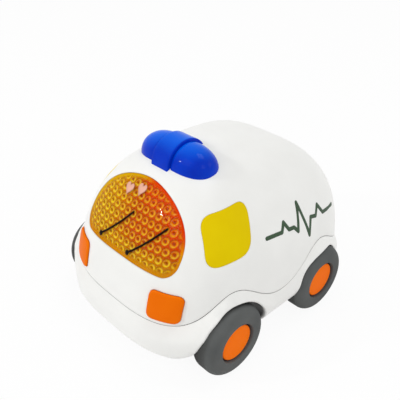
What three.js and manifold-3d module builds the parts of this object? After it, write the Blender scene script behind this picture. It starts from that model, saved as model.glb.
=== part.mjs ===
// A friction toy car: a rounded two-piece shell on four fat wheels, driven by a flywheel motor
// on the rear axle. Millimetres, +Z up, the car faces -Y and its left side is +X.
import * as THREE from "three";
import { mergeVertices } from "three/addons/utils/BufferGeometryUtils.js";
import Module from "manifold-3d";

const wasm = await Module();
wasm.setup();

// Wheels and axles
const TYRE_RADIUS = 14.8;
const TYRE_WIDTH = 11;
const TYRE_SHOULDER = 2.6;
const TYRE_BEVEL = 0.7;
const WHEEL_PROUD = 0.8;
const CORE_RADIUS = 7.65;
const CORE_RECESS = 0.9;
const CORE_FACE = 1.8;
const CORE_RIM = 1.6;
const CORE_BOSS_RADIUS = 3.4;
const CORE_BOSS_REACH = 2.6;
const AXLE_RADIUS = 1.25;
const AXLE_END_DEPTH = 2.4;
const FRONT_OVERHANG = 23.7;
const REAR_OVERHANG = 31.7;

// Body surface, a stack of rounded plan outlines
const LENGTH = 110.6;
const BODY_HALF_WIDTH = 43.2;
const BODY_RISE = 60.7;
const WIDEST_FROM_FRONT_AXLE = 19.9;
const PLAN_ROUNDNESS_FRONT = 3.0;
const PLAN_ROUNDNESS_REAR = 3.8;
const SIDE_PROFILE = { power: 2.49, root: 1.76 };
const FRONT_PROFILE = { power: 1.75, root: 2.0 };
const REAR_PROFILE = { power: 3.72, root: 1.84 };
const WALL = 2;

// Lower shell
const FLARE_SIDE = 1.5;
const FLARE_FRONT = 2.1;
const FLARE_DROP = 6;
const FLOOR_BELOW_AXLE = 5.8;
const FLOOR = 2.2;
const EDGE_ROUND_ENDS = 3;
const EDGE_ROUND_SIDES = 12;
const EDGE_BLEND_FROM = 0.51;
const EDGE_BLEND_TO = 0.84;
const FRONT_ARCH_CLEARANCE = 1.2;
const REAR_ARCH_CLEARANCE = 0.7;
const WELL_WALL = 1.5;
const WELL_PLAY = 0.9;
const FRONT_ARCH_BEHIND_AXLE = 0.9;

// Fenders, which stand out over the wheels, each about a middle some way ahead of its axle
const FRONT_FENDER = { stand: 4.3, ahead: 9.9, length: 6.1, rise: 10.8 };
const REAR_FENDER = { stand: 2.5, ahead: 3, length: 10.4, rise: 17 };
const FENDER_DROP = 2.2;

// Seam between the shells, low at the ends and raised over each wheel
const SEAM_ABOVE_AXLE = 7.7;
const FRONT_ARCH_BAND = 4.5;
const REAR_ARCH_BAND = 3.4;
const CREST_WIDTH = 14.5;
const FRONT_CREST_BEHIND_AXLE = 2.3;
const REAR_CREST_BEHIND_AXLE = 1;

// Windscreen, front lamps and side windows
const SCREEN_FROM_SIDE = 16.9;
const SCREEN_BOTTOM_ABOVE_AXLE = 26.4;
const SCREEN_SHOULDER = 6.7;
const SCREEN_DOME = 19.3;
const SCREEN_CORNER = 5.5;
const SCREEN_SETBACK = 0.2;
const SCREEN_PLATE = 1.6;
const SCREEN_SKIRT = 1.5;
const SCREEN_FLANGE = 1;
const SCREEN_FLANGE_LIP = 1.6;
const LAMP_FROM_SIDE = 11.8;
const LAMP_WIDTH = 12.7;
const LAMP_BOTTOM_INNER = 10.1;
const LAMP_BOTTOM_OUTER = 10.9;
const LAMP_TOP = 21.8;
const LAMP_CORNER = 2.6;
const LAMP_PROUD = 0.9;
const WINDOW_CORNER = 5;
const WINDOW_BOTTOM_ABOVE_AXLE = 30.8;
const WINDOW_HEIGHT = 15.7;
const WINDOW_BOTTOM_LENGTH = 18.7;
const WINDOW_TOP_LENGTH = 20;
const WINDOW_AHEAD_OF_AXLE = 5.6;
const WINDOW_LEAN = 5.2;
const WINDOW_RISE = 1;
const PANEL = 0.7;

// Roof light bar
const BAR_BEHIND_AXLE = 12.9;
const BAR_BELOW_TOP = 5.9;
const BAR_BAND_RADIUS = 10.1;
const BAR_BAND_HALF_WIDTH = 4.6;
const BAR_DOME_RADIUS = 9;
const BAR_HALF_LENGTH = 18;
const BAR_DOME_ROUNDNESS = 2.3;
const BAR_WALL = 1.6;
const PEG_RADIUS = 1.5;
const PEG_X = 10;
const PEG_TAIL = 2;

// Shell screws and the bosses that they hold
const BOSS_RADIUS = 3;
const BOSS_TOP_ABOVE_AXLE = 20.5;
const FRONT_BOSS_X = 12;
const FRONT_BOSS_FROM_END = 6.7;
const REAR_BOSS_X = 20;
const REAR_BOSS_FROM_END = 6.3;
const POST_RADIUS = 4;
const POST_HEIGHT = 4.2;
const POST_SHOULDER = 2;
const SCREW_RADIUS = 1;
const SCREW_HEAD_RADIUS = 2.2;
const SCREW_HEAD = 1.6;
const SCREW_SLOT = 0.6;
const SHELL_SCREW_LENGTH = 10;
const MOTOR_SCREW_LENGTH = 6;

// Friction motor
const GEAR_MODULE = 0.6;
const PRESSURE_ANGLE = (20 * Math.PI) / 180;
const ADDENDUM = 0.45;
const DEDENDUM = 0.66;
const BACKLASH = 0.14;
const AXLE_GEAR_TEETH = 24;
const PINION_TEETH = 10;
const STEP_GEAR_TEETH = 26;
const GEAR_WIDTH = 3;
const AXLE_GEAR_X = 2.2;
const PINION_OVERLAP = 0.3;
const STEP_ANGLE = (130 * Math.PI) / 180;
const FLYWHEEL_ANGLE = (160 * Math.PI) / 180;
const SHAFT_RADIUS = 1;
const FLYWHEEL_RADIUS = 9;
const FLYWHEEL_WIDTH = 6;
const CASE_WALL = 1.3;
const CASE_END_PLAY = 0.6;
const CASE_SPLIT_X = 0;
const EAR_ABOVE_AXLE = 1.2;
const EAR = 1.8;
const EAR_LENGTH = 8;
const EAR_OVERLAP = 4;
const EAR_SCREW_FROM_END = 3.6;
const EAR_HALF_WIDTH = 3.4;
const EAR_POST_RADIUS = 2.8;

// Fits
const GAP = 0.3;
const FACE_GAP = 0.2;
const RUNNING_GAP = 0.3;
const HOLE_DEEPER = 1;
const CUT_MARGIN = 1;

// Facets
const PLAN_SEGMENTS = 36;
const BODY_RINGS = 11;
const LOWER_SEGMENTS = 56;
const LOWER_RINGS = 3;
const FLARE_RINGS = 8;
const FLARE_CROWDING = 1.6;
const SEAM_PASSES = 40;
const ROUND_RINGS = 2;
const WHEEL_SEGMENTS = 26;
const ARCH_SEGMENTS = 30;
const SMALL_SEGMENTS = 10;
const CURVE_SEGMENTS = 6;
const SEAM_STEP = 4;
const SHOULDER_STEPS = 2;
const RING_CROWDING = 1.8;
const BEYOND = 8;
const LOFT_ABOVE_SEAM = 4;
const MERGE_DISTANCE = 1e-4;
const HULL_TOLERANCE = 1e-9;

// Places that follow from the sizes
const AXLE_Z = TYRE_RADIUS;
const FRONT_ARCH_RADIUS = TYRE_RADIUS + FRONT_ARCH_CLEARANCE;
const REAR_ARCH_RADIUS = TYRE_RADIUS + REAR_ARCH_CLEARANCE;
const WHEEL_FACE_X = BODY_HALF_WIDTH + FLARE_SIDE + WHEEL_PROUD;
const WELL_INNER_X = WHEEL_FACE_X - TYRE_WIDTH - CORE_BOSS_REACH - WELL_PLAY;
const SCREEN_HALF_WIDTH = BODY_HALF_WIDTH - SCREEN_FROM_SIDE;
const LAMP_OUTER_X = BODY_HALF_WIDTH - LAMP_FROM_SIDE;
const LAMP_INNER_X = LAMP_OUTER_X - LAMP_WIDTH;
const BODY_FRONT_Y = -LENGTH / 2 + FLARE_FRONT;
const BODY_REAR_Y = LENGTH / 2 - FLARE_SIDE;
const FRONT_AXLE_Y = BODY_FRONT_Y + FRONT_OVERHANG;
const REAR_AXLE_Y = BODY_REAR_Y - REAR_OVERHANG;
const WIDEST_Y = FRONT_AXLE_Y + WIDEST_FROM_FRONT_AXLE;
const TOP_Z = AXLE_Z + BODY_RISE;
const FLOOR_Z = AXLE_Z - FLOOR_BELOW_AXLE;
const FLOOR_TOP_Z = FLOOR_Z + FLOOR;
const SEAM_LOW_Z = AXLE_Z + SEAM_ABOVE_AXLE;
const SEAM_HIGH_Z =
  AXLE_Z + Math.max(FRONT_ARCH_RADIUS + FRONT_ARCH_BAND, REAR_ARCH_RADIUS + REAR_ARCH_BAND);
const OUTSIDE_X = WHEEL_FACE_X + BEYOND;
const OUTSIDE_Y = LENGTH / 2 + BEYOND;
const SIDE_CUT_X = BODY_HALF_WIDTH / 3;
const AXLE_END_X = WHEEL_FACE_X - CORE_RECESS - AXLE_END_DEPTH;
const BAR_Y = FRONT_AXLE_Y + BAR_BEHIND_AXLE;
const BAR_Z = TOP_Z - BAR_BELOW_TOP;
const POST_TOP_Z = FLOOR_Z + FLOOR + POST_HEIGHT;
const SHELL_SCREWS = [
  { name: "front_left", x: FRONT_BOSS_X, y: BODY_FRONT_Y + FRONT_BOSS_FROM_END },
  { name: "front_right", x: -FRONT_BOSS_X, y: BODY_FRONT_Y + FRONT_BOSS_FROM_END },
  { name: "rear_left", x: REAR_BOSS_X, y: BODY_REAR_Y - REAR_BOSS_FROM_END },
  { name: "rear_right", x: -REAR_BOSS_X, y: BODY_REAR_Y - REAR_BOSS_FROM_END },
];
const FRONT_ARCH_Y = FRONT_AXLE_Y + FRONT_ARCH_BEHIND_AXLE;
const WHEELS = [
  { name: "front_left", side: 1, y: FRONT_AXLE_Y, archY: FRONT_ARCH_Y, archRadius: FRONT_ARCH_RADIUS },
  { name: "front_right", side: -1, y: FRONT_AXLE_Y, archY: FRONT_ARCH_Y, archRadius: FRONT_ARCH_RADIUS },
  { name: "rear_left", side: 1, y: REAR_AXLE_Y, archY: REAR_AXLE_Y, archRadius: REAR_ARCH_RADIUS },
  { name: "rear_right", side: -1, y: REAR_AXLE_Y, archY: REAR_AXLE_Y, archRadius: REAR_ARCH_RADIUS },
];

// Gear centres in the plane across the axles, as Vector2 of y and z
const pitchRadius = (teeth) => (GEAR_MODULE * teeth) / 2;
const tipRadius = (teeth) => pitchRadius(teeth) + ADDENDUM;
const along = (angle, distance) =>
  new THREE.Vector2(distance * Math.cos(angle), distance * Math.sin(angle));
const AXLE_CENTRE = new THREE.Vector2(REAR_AXLE_Y, AXLE_Z);
const STEP_CENTRE = AXLE_CENTRE.clone().add(
  along(STEP_ANGLE, pitchRadius(AXLE_GEAR_TEETH) + pitchRadius(PINION_TEETH)),
);
const FLYWHEEL_CENTRE = STEP_CENTRE.clone().add(
  along(FLYWHEEL_ANGLE, pitchRadius(STEP_GEAR_TEETH) + pitchRadius(PINION_TEETH)),
);
const PINION_X0 = AXLE_GEAR_X - PINION_OVERLAP;
const PINION_X1 = AXLE_GEAR_X + GEAR_WIDTH + PINION_OVERLAP;
const STEP_GEAR_X0 = PINION_X0 - GEAR_WIDTH;
const DRIVEN_X0 = STEP_GEAR_X0 - PINION_OVERLAP;
const DRIVEN_X1 = PINION_X0 + PINION_OVERLAP;
const FLYWHEEL_X1 = DRIVEN_X0 - GAP;
const FLYWHEEL_X0 = FLYWHEEL_X1 - FLYWHEEL_WIDTH;
const CASE_INNER_X0 = FLYWHEEL_X0 - CASE_END_PLAY;
const CASE_INNER_X1 = PINION_X1 + CASE_END_PLAY;
const CASE_X0 = CASE_INNER_X0 - CASE_WALL;
const CASE_X1 = CASE_INNER_X1 + CASE_WALL;
const EAR_Z = AXLE_Z + EAR_ABOVE_AXLE;

// Solids from three.js geometries, and back again
function solid(geometry) {
  const bare = geometry.clone();
  bare.deleteAttribute("normal");
  bare.deleteAttribute("uv");
  const merged = mergeVertices(bare, MERGE_DISTANCE);
  return new wasm.Manifold(
    new wasm.Mesh({
      numProp: 3,
      vertProperties: new Float32Array(merged.getAttribute("position").array),
      triVerts: new Uint32Array(merged.index.array),
    }),
  );
}

function geometryOf(made) {
  const mesh = made.getMesh();
  return new THREE.BufferGeometry()
    .setAttribute("position", new THREE.BufferAttribute(mesh.vertProperties, 3))
    .setIndex(new THREE.BufferAttribute(mesh.triVerts, 1));
}

const joined = (solids) => solids.reduce((all, one) => all.add(one));

function box(x0, x1, y0, y1, z0, z1) {
  const geometry = new THREE.BoxGeometry(x1 - x0, y1 - y0, z1 - z0);
  return solid(geometry.translate((x0 + x1) / 2, (y0 + y1) / 2, (z0 + z1) / 2));
}

function rodX(radius, x0, x1, y, z, segments = SMALL_SEGMENTS) {
  const geometry = new THREE.CylinderGeometry(radius, radius, x1 - x0, segments);
  return solid(geometry.rotateZ(-Math.PI / 2).translate((x0 + x1) / 2, y, z));
}

function rodZ(radius, z0, z1, x, y, segments = SMALL_SEGMENTS) {
  const geometry = new THREE.CylinderGeometry(radius, radius, z1 - z0, segments);
  return solid(geometry.rotateX(Math.PI / 2).translate(x, y, (z0 + z1) / 2));
}

const X = new THREE.Vector3(1, 0, 0);
const Y = new THREE.Vector3(0, 1, 0);
const Z = new THREE.Vector3(0, 0, 1);

// A shape drawn in y and z, extruded along X
function prismX(shape, x0, x1) {
  const geometry = new THREE.ExtrudeGeometry(shape, {
    depth: x1 - x0,
    bevelEnabled: false,
    curveSegments: CURVE_SEGMENTS,
  });
  return solid(geometry.applyMatrix4(new THREE.Matrix4().makeBasis(Y, Z, X)).translate(x0, 0, 0));
}

// A shape drawn in x and z, extruded along Y
function prismY(shape, y0, y1) {
  const geometry = new THREE.ExtrudeGeometry(shape, {
    depth: y1 - y0,
    bevelEnabled: false,
    curveSegments: CURVE_SEGMENTS,
  });
  const turn = new THREE.Matrix4().makeBasis(X, Z, Y.clone().negate());
  return solid(geometry.applyMatrix4(turn).translate(0, y1, 0));
}

// A turned piece from points of radius and distance along X
function turned(points, segments) {
  return new THREE.LatheGeometry(points, segments).rotateZ(-Math.PI / 2);
}

// The body surface
const clamp = (value, low, high) => Math.min(Math.max(value, low), high);
const smooth = (value) => value * value * (3 - 2 * value);

function profileShare(profile, z, offset) {
  const share = clamp((z - AXLE_Z) / (BODY_RISE + offset), 0, 1);
  return (1 - share ** profile.power) ** (1 / profile.root);
}

// The point of the plan outline at height z, where cosine and sine give its direction
function planPoint(cosine, sine, z, offset) {
  const roundness = sine > 0 ? PLAN_ROUNDNESS_REAR : PLAN_ROUNDNESS_FRONT;
  const reach = sine > 0 ? BODY_REAR_Y - WIDEST_Y : WIDEST_Y - BODY_FRONT_Y;
  const profile = sine > 0 ? REAR_PROFILE : FRONT_PROFILE;
  const across = Math.sign(cosine) * Math.abs(cosine) ** (2 / roundness);
  const lengthwise = Math.sign(sine) * Math.abs(sine) ** (2 / roundness);
  return new THREE.Vector2(
    across * (BODY_HALF_WIDTH + offset) * profileShare(SIDE_PROFILE, z, offset),
    WIDEST_Y + lengthwise * (reach + offset) * profileShare(profile, z, offset),
  );
}

// A closed loft through rings, whose points come from pointAt(cosine, sine, height)
function loft(heights, topZ, segments, pointAt) {
  const ringRadius = 1;
  const profile = heights.map((z) => new THREE.Vector2(ringRadius, z));
  profile.unshift(new THREE.Vector2(0, heights[0]));
  profile.push(new THREE.Vector2(0, topZ));
  const geometry = new THREE.LatheGeometry(profile, segments);
  const position = geometry.getAttribute("position");
  for (let i = 0; i < position.count; i++) {
    const height = position.getY(i);
    const cosine = position.getX(i);
    const sine = -position.getZ(i);
    const onAxis = Math.hypot(cosine, sine) < ringRadius / 2;
    const point = onAxis ? new THREE.Vector3(0, WIDEST_Y, height) : pointAt(cosine, sine, height);
    position.setXYZ(i, point.x, point.y, point.z);
  }
  return solid(geometry);
}

// The whole body moved outwards by offset, from bottomZ to its top
function bodySolid(offset, bottomZ) {
  const heights = [bottomZ];
  for (let i = 1; i < BODY_RINGS; i++) {
    const share = 1 - (1 - i / BODY_RINGS) ** RING_CROWDING;
    const z = AXLE_Z + share * (BODY_RISE + offset);
    if (z > bottomZ + CUT_MARGIN) heights.push(z);
  }
  const pointAt = (cosine, sine, z) => {
    const point = planPoint(cosine, sine, z, offset);
    return new THREE.Vector3(point.x, point.y, z);
  };
  return loft(heights, TOP_Z + offset, PLAN_SEGMENTS, pointAt);
}

// Height of the seam at y
function seamZ(y) {
  const crest = (middleY, topAboveAxle) => {
    const away = (y - middleY) / CREST_WIDTH;
    return (topAboveAxle - SEAM_ABOVE_AXLE) * Math.exp(-away * away);
  };
  const front = crest(FRONT_AXLE_Y + FRONT_CREST_BEHIND_AXLE, FRONT_ARCH_RADIUS + FRONT_ARCH_BAND);
  const rear = crest(REAR_AXLE_Y + REAR_CREST_BEHIND_AXLE, REAR_ARCH_RADIUS + REAR_ARCH_BAND);
  return SEAM_LOW_Z + front + rear;
}

// Everything between the seam, raised by lift, and a level far above or below it
function seamSide(lift, farZ) {
  const shape = new THREE.Shape();
  const steps = Math.ceil((2 * OUTSIDE_Y) / SEAM_STEP);
  shape.moveTo(-OUTSIDE_Y, farZ);
  for (let i = 0; i <= steps; i++) {
    const y = -OUTSIDE_Y + (2 * OUTSIDE_Y * i) / steps;
    shape.lineTo(y, seamZ(y) + lift);
  }
  shape.lineTo(OUTSIDE_Y, farZ);
  return prismX(shape, -OUTSIDE_X, OUTSIDE_X);
}

// Outlines of the inserts, grown all round by a clearance
function screenShape(grow) {
  const half = SCREEN_HALF_WIDTH + grow;
  const corner = SCREEN_CORNER + grow;
  const bottom = AXLE_Z + SCREEN_BOTTOM_ABOVE_AXLE - grow;
  const shoulder = AXLE_Z + SCREEN_BOTTOM_ABOVE_AXLE + SCREEN_SHOULDER;
  const dome = SCREEN_DOME + grow;
  const shape = new THREE.Shape();
  shape.moveTo(corner - half, bottom);
  shape.lineTo(half - corner, bottom);
  shape.absarc(half - corner, bottom + corner, corner, -Math.PI / 2, 0, false);
  shape.lineTo(half, shoulder);
  shape.absellipse(0, shoulder, half, dome, 0, Math.PI / 2, false, 0);
  shape.absellipse(0, shoulder, half, dome, Math.PI / 2, Math.PI, false, 0);
  shape.lineTo(-half, bottom + corner);
  shape.absarc(corner - half, bottom + corner, corner, Math.PI, 1.5 * Math.PI, false);
  return shape;
}

// A convex outline with rounded corners, its corners given anticlockwise
function roundedShape(corners, radius, grow) {
  const count = corners.length;
  const edges = corners.map((from, i) => {
    const direction = corners[(i + 1) % count].clone().sub(from).normalize();
    const outward = new THREE.Vector2(direction.y, -direction.x);
    return { start: from.clone().addScaledVector(outward, grow), direction };
  });
  const grown = edges.map((edge, i) => {
    const before = edges[(i + count - 1) % count];
    const apart = edge.start.clone().sub(before.start);
    const reach = apart.cross(edge.direction) / before.direction.cross(edge.direction);
    return before.start.clone().addScaledVector(before.direction, reach);
  });
  const shape = new THREE.Shape();
  grown.forEach((corner, i) => {
    const arrive = corner.clone().addScaledVector(edges[(i + count - 1) % count].direction, -radius);
    const leave = corner.clone().addScaledVector(edges[i].direction, radius);
    if (i === 0) shape.moveTo(arrive.x, arrive.y);
    else shape.lineTo(arrive.x, arrive.y);
    shape.quadraticCurveTo(corner.x, corner.y, leave.x, leave.y);
  });
  return shape;
}

function lampShape(side, grow) {
  const corners = [
    new THREE.Vector2(LAMP_INNER_X, AXLE_Z + LAMP_BOTTOM_INNER),
    new THREE.Vector2(LAMP_OUTER_X, AXLE_Z + LAMP_BOTTOM_OUTER),
    new THREE.Vector2(LAMP_OUTER_X, AXLE_Z + LAMP_TOP),
    new THREE.Vector2(LAMP_INNER_X, AXLE_Z + LAMP_TOP),
  ];
  if (side < 0) corners.reverse().forEach((corner) => (corner.x = -corner.x));
  return roundedShape(corners, LAMP_CORNER, grow);
}

function windowShape(grow) {
  const bottomZ = AXLE_Z + WINDOW_BOTTOM_ABOVE_AXLE;
  const topZ = bottomZ + WINDOW_HEIGHT;
  const frontY = FRONT_AXLE_Y - WINDOW_AHEAD_OF_AXLE;
  const corners = [
    new THREE.Vector2(frontY, bottomZ),
    new THREE.Vector2(frontY + WINDOW_BOTTOM_LENGTH, bottomZ + WINDOW_RISE),
    new THREE.Vector2(frontY + WINDOW_LEAN + WINDOW_TOP_LENGTH, topZ + WINDOW_RISE),
    new THREE.Vector2(frontY + WINDOW_LEAN, topZ),
  ];
  return roundedShape(corners, WINDOW_CORNER, grow);
}

// Where each insert's outline reaches through the shell
const screenPrism = (grow) => prismY(screenShape(grow), -OUTSIDE_Y, BAR_Y - BAR_BAND_RADIUS);
const lampPrism = (side, grow) => prismY(lampShape(side, grow), -OUTSIDE_Y, FRONT_AXLE_Y);
const windowPrism = (side, grow) =>
  side > 0
    ? prismX(windowShape(grow), SIDE_CUT_X, OUTSIDE_X)
    : prismX(windowShape(grow), -OUTSIDE_X, -SIDE_CUT_X);

// The body surface between two offsets, as a skin open at the bottom
const SKIN_BOTTOM_Z = SEAM_LOW_Z - BEYOND;
const skin = (outer, inner) =>
  bodySolid(outer, SKIN_BOTTOM_Z).subtract(bodySolid(inner, SKIN_BOTTOM_Z - CUT_MARGIN));

function upperShell() {
  let shell = skin(0, -WALL).intersect(seamSide(FACE_GAP / 2, TOP_Z + BEYOND));
  const insideWall = bodySolid(-WALL / 2, FLOOR_Z);
  for (const { x, y } of SHELL_SCREWS) {
    const boss = rodZ(BOSS_RADIUS, POST_TOP_Z + GAP, AXLE_Z + BOSS_TOP_ABOVE_AXLE, x, y);
    const pilotTop = POST_TOP_Z - POST_SHOULDER + SHELL_SCREW_LENGTH + HOLE_DEEPER;
    const pilot = rodZ(SCREW_RADIUS + GAP, FLOOR_Z, pilotTop, x, y);
    shell = shell.add(boss.intersect(insideWall)).subtract(pilot);
  }
  shell = shell.subtract(screenPrism(GAP));
  const pocket = skin(BEYOND, -PANEL - GAP);
  for (const side of [1, -1]) {
    shell = shell.subtract(pocket.intersect(joined([lampPrism(side, GAP), windowPrism(side, GAP)])));
    shell = shell.subtract(rodZ(PEG_RADIUS + GAP, BAR_Z - BEYOND, TOP_Z + BEYOND, side * PEG_X, BAR_Y));
  }
  return shell;
}

// How far the fenders stand out sideways at y and z
function fenderStand(y, z) {
  const stand = (fender, axleY) => {
    const away = (y - axleY + fender.ahead) / fender.length;
    const rise = smooth(clamp((z - FLOOR_Z) / fender.rise, 0, 1));
    return fender.stand * Math.exp(-away * away) * rise;
  };
  return stand(FRONT_FENDER, FRONT_AXLE_Y) + stand(REAR_FENDER, REAR_AXLE_Y);
}

// The height of a ring that is level at the floor and follows the seam higher up
function lowerHeight(cosine, sine, level) {
  const share = smooth(clamp((level - FLOOR_Z) / (SEAM_LOW_Z - FLOOR_Z), 0, 1));
  let z = level;
  for (let i = 0; i < SEAM_PASSES; i++) {
    z = level + share * (seamZ(planPoint(cosine, sine, z, 0).y) - SEAM_LOW_Z);
  }
  return z;
}

// The lower shell's surface, flared below the seam and rounded under, more at the sides than the ends
function lowerSolid(inset, bottomZ) {
  const heights = [];
  const startZ = FLOOR_Z + EDGE_ROUND_ENDS;
  for (let i = 0; i < ROUND_RINGS; i++) {
    heights.push(bottomZ + (startZ - bottomZ) * (1 - Math.cos((i / ROUND_RINGS) * (Math.PI / 2))));
  }
  const flareStartZ = SEAM_LOW_Z - FLARE_DROP;
  for (let i = 0; i <= LOWER_RINGS; i++) heights.push(startZ + ((flareStartZ - startZ) * i) / LOWER_RINGS);
  for (let i = 1; i <= FLARE_RINGS; i++) {
    heights.push(SEAM_LOW_Z - FLARE_DROP * (1 - i / FLARE_RINGS) ** FLARE_CROWDING);
  }
  const topLevel = SEAM_LOW_Z + LOFT_ABOVE_SEAM + inset;
  heights.push(topLevel);
  const topZ = SEAM_HIGH_Z + LOFT_ABOVE_SEAM + inset;
  return loft(heights, topZ, LOWER_SEGMENTS, (cosine, sine, level) => {
    const z = lowerHeight(cosine, sine, level);
    const flare = FLARE_SIDE + (FLARE_FRONT - FLARE_SIDE) * Math.max(0, -sine);
    const plainY = planPoint(cosine, sine, z, 0).y;
    const below = seamZ(plainY) - z;
    const spread = flare * smooth(clamp(below / FLARE_DROP, 0, 1));
    const endShare = (Math.abs(sine) - EDGE_BLEND_FROM) / (EDGE_BLEND_TO - EDGE_BLEND_FROM);
    const towardsEnd = smooth(clamp(endShare, 0, 1));
    const edgeRound = EDGE_ROUND_SIDES + (EDGE_ROUND_ENDS - EDGE_ROUND_SIDES) * towardsEnd;
    const radius = edgeRound - inset;
    const under = clamp((FLOOR_Z + edgeRound - z) / radius, 0, 1);
    const tuck = radius * (1 - Math.sqrt(1 - under ** 2));
    const point = planPoint(cosine, sine, z, spread - tuck - inset);
    const stand = fenderStand(plainY, z) * smooth(clamp(below / FENDER_DROP, 0, 1));
    return new THREE.Vector3(point.x * (1 + stand / BODY_HALF_WIDTH), point.y, z);
  });
}

function lowerShell() {
  const outside = lowerSolid(0, FLOOR_Z);
  let shell = outside.subtract(lowerSolid(WALL, FLOOR_TOP_Z));
  const wellWalls = [];
  const wells = [];
  for (const { side, archY, archRadius } of WHEELS) {
    const span = (x) => [Math.min(side * x, side * OUTSIDE_X), Math.max(side * x, side * OUTSIDE_X)];
    const wallSpan = span(WELL_INNER_X - WELL_WALL);
    wellWalls.push(rodX(archRadius + WELL_WALL, ...wallSpan, archY, AXLE_Z, ARCH_SEGMENTS));
    wells.push(rodX(archRadius, ...span(WELL_INNER_X), archY, AXLE_Z, ARCH_SEGMENTS));
  }
  shell = shell.add(joined(wellWalls).intersect(outside));
  for (const { x, y } of SHELL_SCREWS) {
    shell = shell.add(rodZ(POST_RADIUS, FLOOR_Z + FLOOR / 2, POST_TOP_Z, x, y));
    const belowZ = FLOOR_Z - CUT_MARGIN;
    shell = shell.subtract(rodZ(SCREW_RADIUS + GAP, belowZ, POST_TOP_Z + CUT_MARGIN, x, y));
    shell = shell.subtract(rodZ(SCREW_HEAD_RADIUS + GAP, belowZ, POST_TOP_Z - POST_SHOULDER, x, y));
  }
  for (const { post } of MOTOR_EARS) {
    shell = shell.add(rodZ(EAR_POST_RADIUS, FLOOR_Z + FLOOR / 2, EAR_Z - GAP, post.x, post.y));
    const holeZ = EAR_Z + EAR - MOTOR_SCREW_LENGTH - GAP;
    shell = shell.subtract(rodZ(SCREW_RADIUS + GAP, holeZ, EAR_Z, post.x, post.y));
  }
  const caseRoom = prismX(caseShape(CASE_WALL + RUNNING_GAP), CASE_X0 - GAP, CASE_X1 + GAP);
  shell = shell.subtract(joined(wells)).subtract(caseRoom);
  for (const y of [FRONT_AXLE_Y, REAR_AXLE_Y]) {
    const reach = WELL_INNER_X + CUT_MARGIN;
    shell = shell.subtract(rodX(AXLE_RADIUS + RUNNING_GAP, -reach, reach, y, AXLE_Z));
  }
  return shell.intersect(seamSide(-FACE_GAP / 2, FLOOR_Z - BEYOND));
}

function windscreen() {
  const back = WALL + GAP + SCREEN_FLANGE;
  const lens = skin(-SCREEN_SETBACK, -back).intersect(screenPrism(0));
  const flange = skin(-WALL - GAP, -back).intersect(screenPrism(SCREEN_FLANGE_LIP));
  const behindPlate = bodySolid(-SCREEN_SETBACK - SCREEN_PLATE, SKIN_BOTTOM_Z);
  return lens.add(flange).subtract(behindPlate.intersect(screenPrism(-SCREEN_SKIRT)));
}

const lamp = (side) => skin(LAMP_PROUD, -PANEL).intersect(lampPrism(side, 0));
const sideWindow = (side) => skin(0, -PANEL).intersect(windowPrism(side, 0));

// The bar's outline from end to end, moved inwards by inset
function barProfile(inset) {
  const end = BAR_HALF_LENGTH - inset;
  const half = BAR_BAND_HALF_WIDTH - inset;
  const steps = CURVE_SEGMENTS;
  const domeRadius = (share) =>
    (BAR_DOME_RADIUS - inset) * (1 - share ** BAR_DOME_ROUNDNESS) ** (1 / BAR_DOME_ROUNDNESS);
  const dome = [];
  for (let i = 0; i <= steps; i++) {
    const share = Math.cos((i / steps) * (Math.PI / 2));
    dome.push(new THREE.Vector2(i === 0 ? 0 : domeRadius(share), half + (end - half) * share));
  }
  const band = BAR_BAND_RADIUS - inset;
  const mirrored = dome.map((point) => new THREE.Vector2(point.x, -point.y));
  return [
    ...mirrored,
    new THREE.Vector2(band, -half),
    new THREE.Vector2(band, half),
    ...dome.slice().reverse(),
  ];
}

function lightBar() {
  const turnedBar = (inset) => solid(turned(barProfile(inset), WHEEL_SEGMENTS).translate(0, BAR_Y, BAR_Z));
  let bar = turnedBar(0).subtract(turnedBar(BAR_WALL));
  bar = bar.subtract(bodySolid(GAP, SKIN_BOTTOM_Z));
  for (const side of [1, -1]) {
    const peg = rodZ(PEG_RADIUS, BAR_Z - PEG_TAIL, BAR_Z + BAR_DOME_RADIUS, side * PEG_X, BAR_Y);
    bar = bar.add(peg.intersect(turnedBar(BAR_WALL / 2)));
  }
  return bar;
}

// Wheels, drawn with their outer face towards +X
function tyreGeometry() {
  const inner = WHEEL_FACE_X - TYRE_WIDTH;
  const bore = CORE_RADIUS + GAP;
  const shoulderCentre = TYRE_RADIUS - TYRE_SHOULDER;
  const outerShoulder = WHEEL_FACE_X - TYRE_SHOULDER;
  const path = new THREE.Path();
  path.moveTo(bore, inner);
  path.lineTo(shoulderCentre, inner);
  path.absarc(shoulderCentre, inner + TYRE_SHOULDER, TYRE_SHOULDER, -Math.PI / 2, 0, false);
  path.lineTo(TYRE_RADIUS, outerShoulder);
  path.absarc(shoulderCentre, outerShoulder, TYRE_SHOULDER, 0, Math.PI / 2, false);
  path.lineTo(bore + TYRE_BEVEL, WHEEL_FACE_X);
  path.lineTo(bore, WHEEL_FACE_X - TYRE_BEVEL);
  path.lineTo(bore, inner);
  return turned(path.getPoints(SHOULDER_STEPS), WHEEL_SEGMENTS);
}

function coreGeometry() {
  const face = WHEEL_FACE_X - CORE_RECESS;
  const back = face - CORE_FACE;
  const inner = WHEEL_FACE_X - TYRE_WIDTH;
  const bore = AXLE_RADIUS + GAP;
  const points = [
    [0, AXLE_END_X + GAP],
    [bore, AXLE_END_X + GAP],
    [bore, inner - CORE_BOSS_REACH],
    [CORE_BOSS_RADIUS, inner - CORE_BOSS_REACH],
    [CORE_BOSS_RADIUS, back],
    [CORE_RADIUS - CORE_RIM, back],
    [CORE_RADIUS - CORE_RIM, inner],
    [CORE_RADIUS, inner],
    [CORE_RADIUS, face],
    [0, face],
  ];
  return turned(points.map(([radius, x]) => new THREE.Vector2(radius, x)), WHEEL_SEGMENTS);
}

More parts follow.
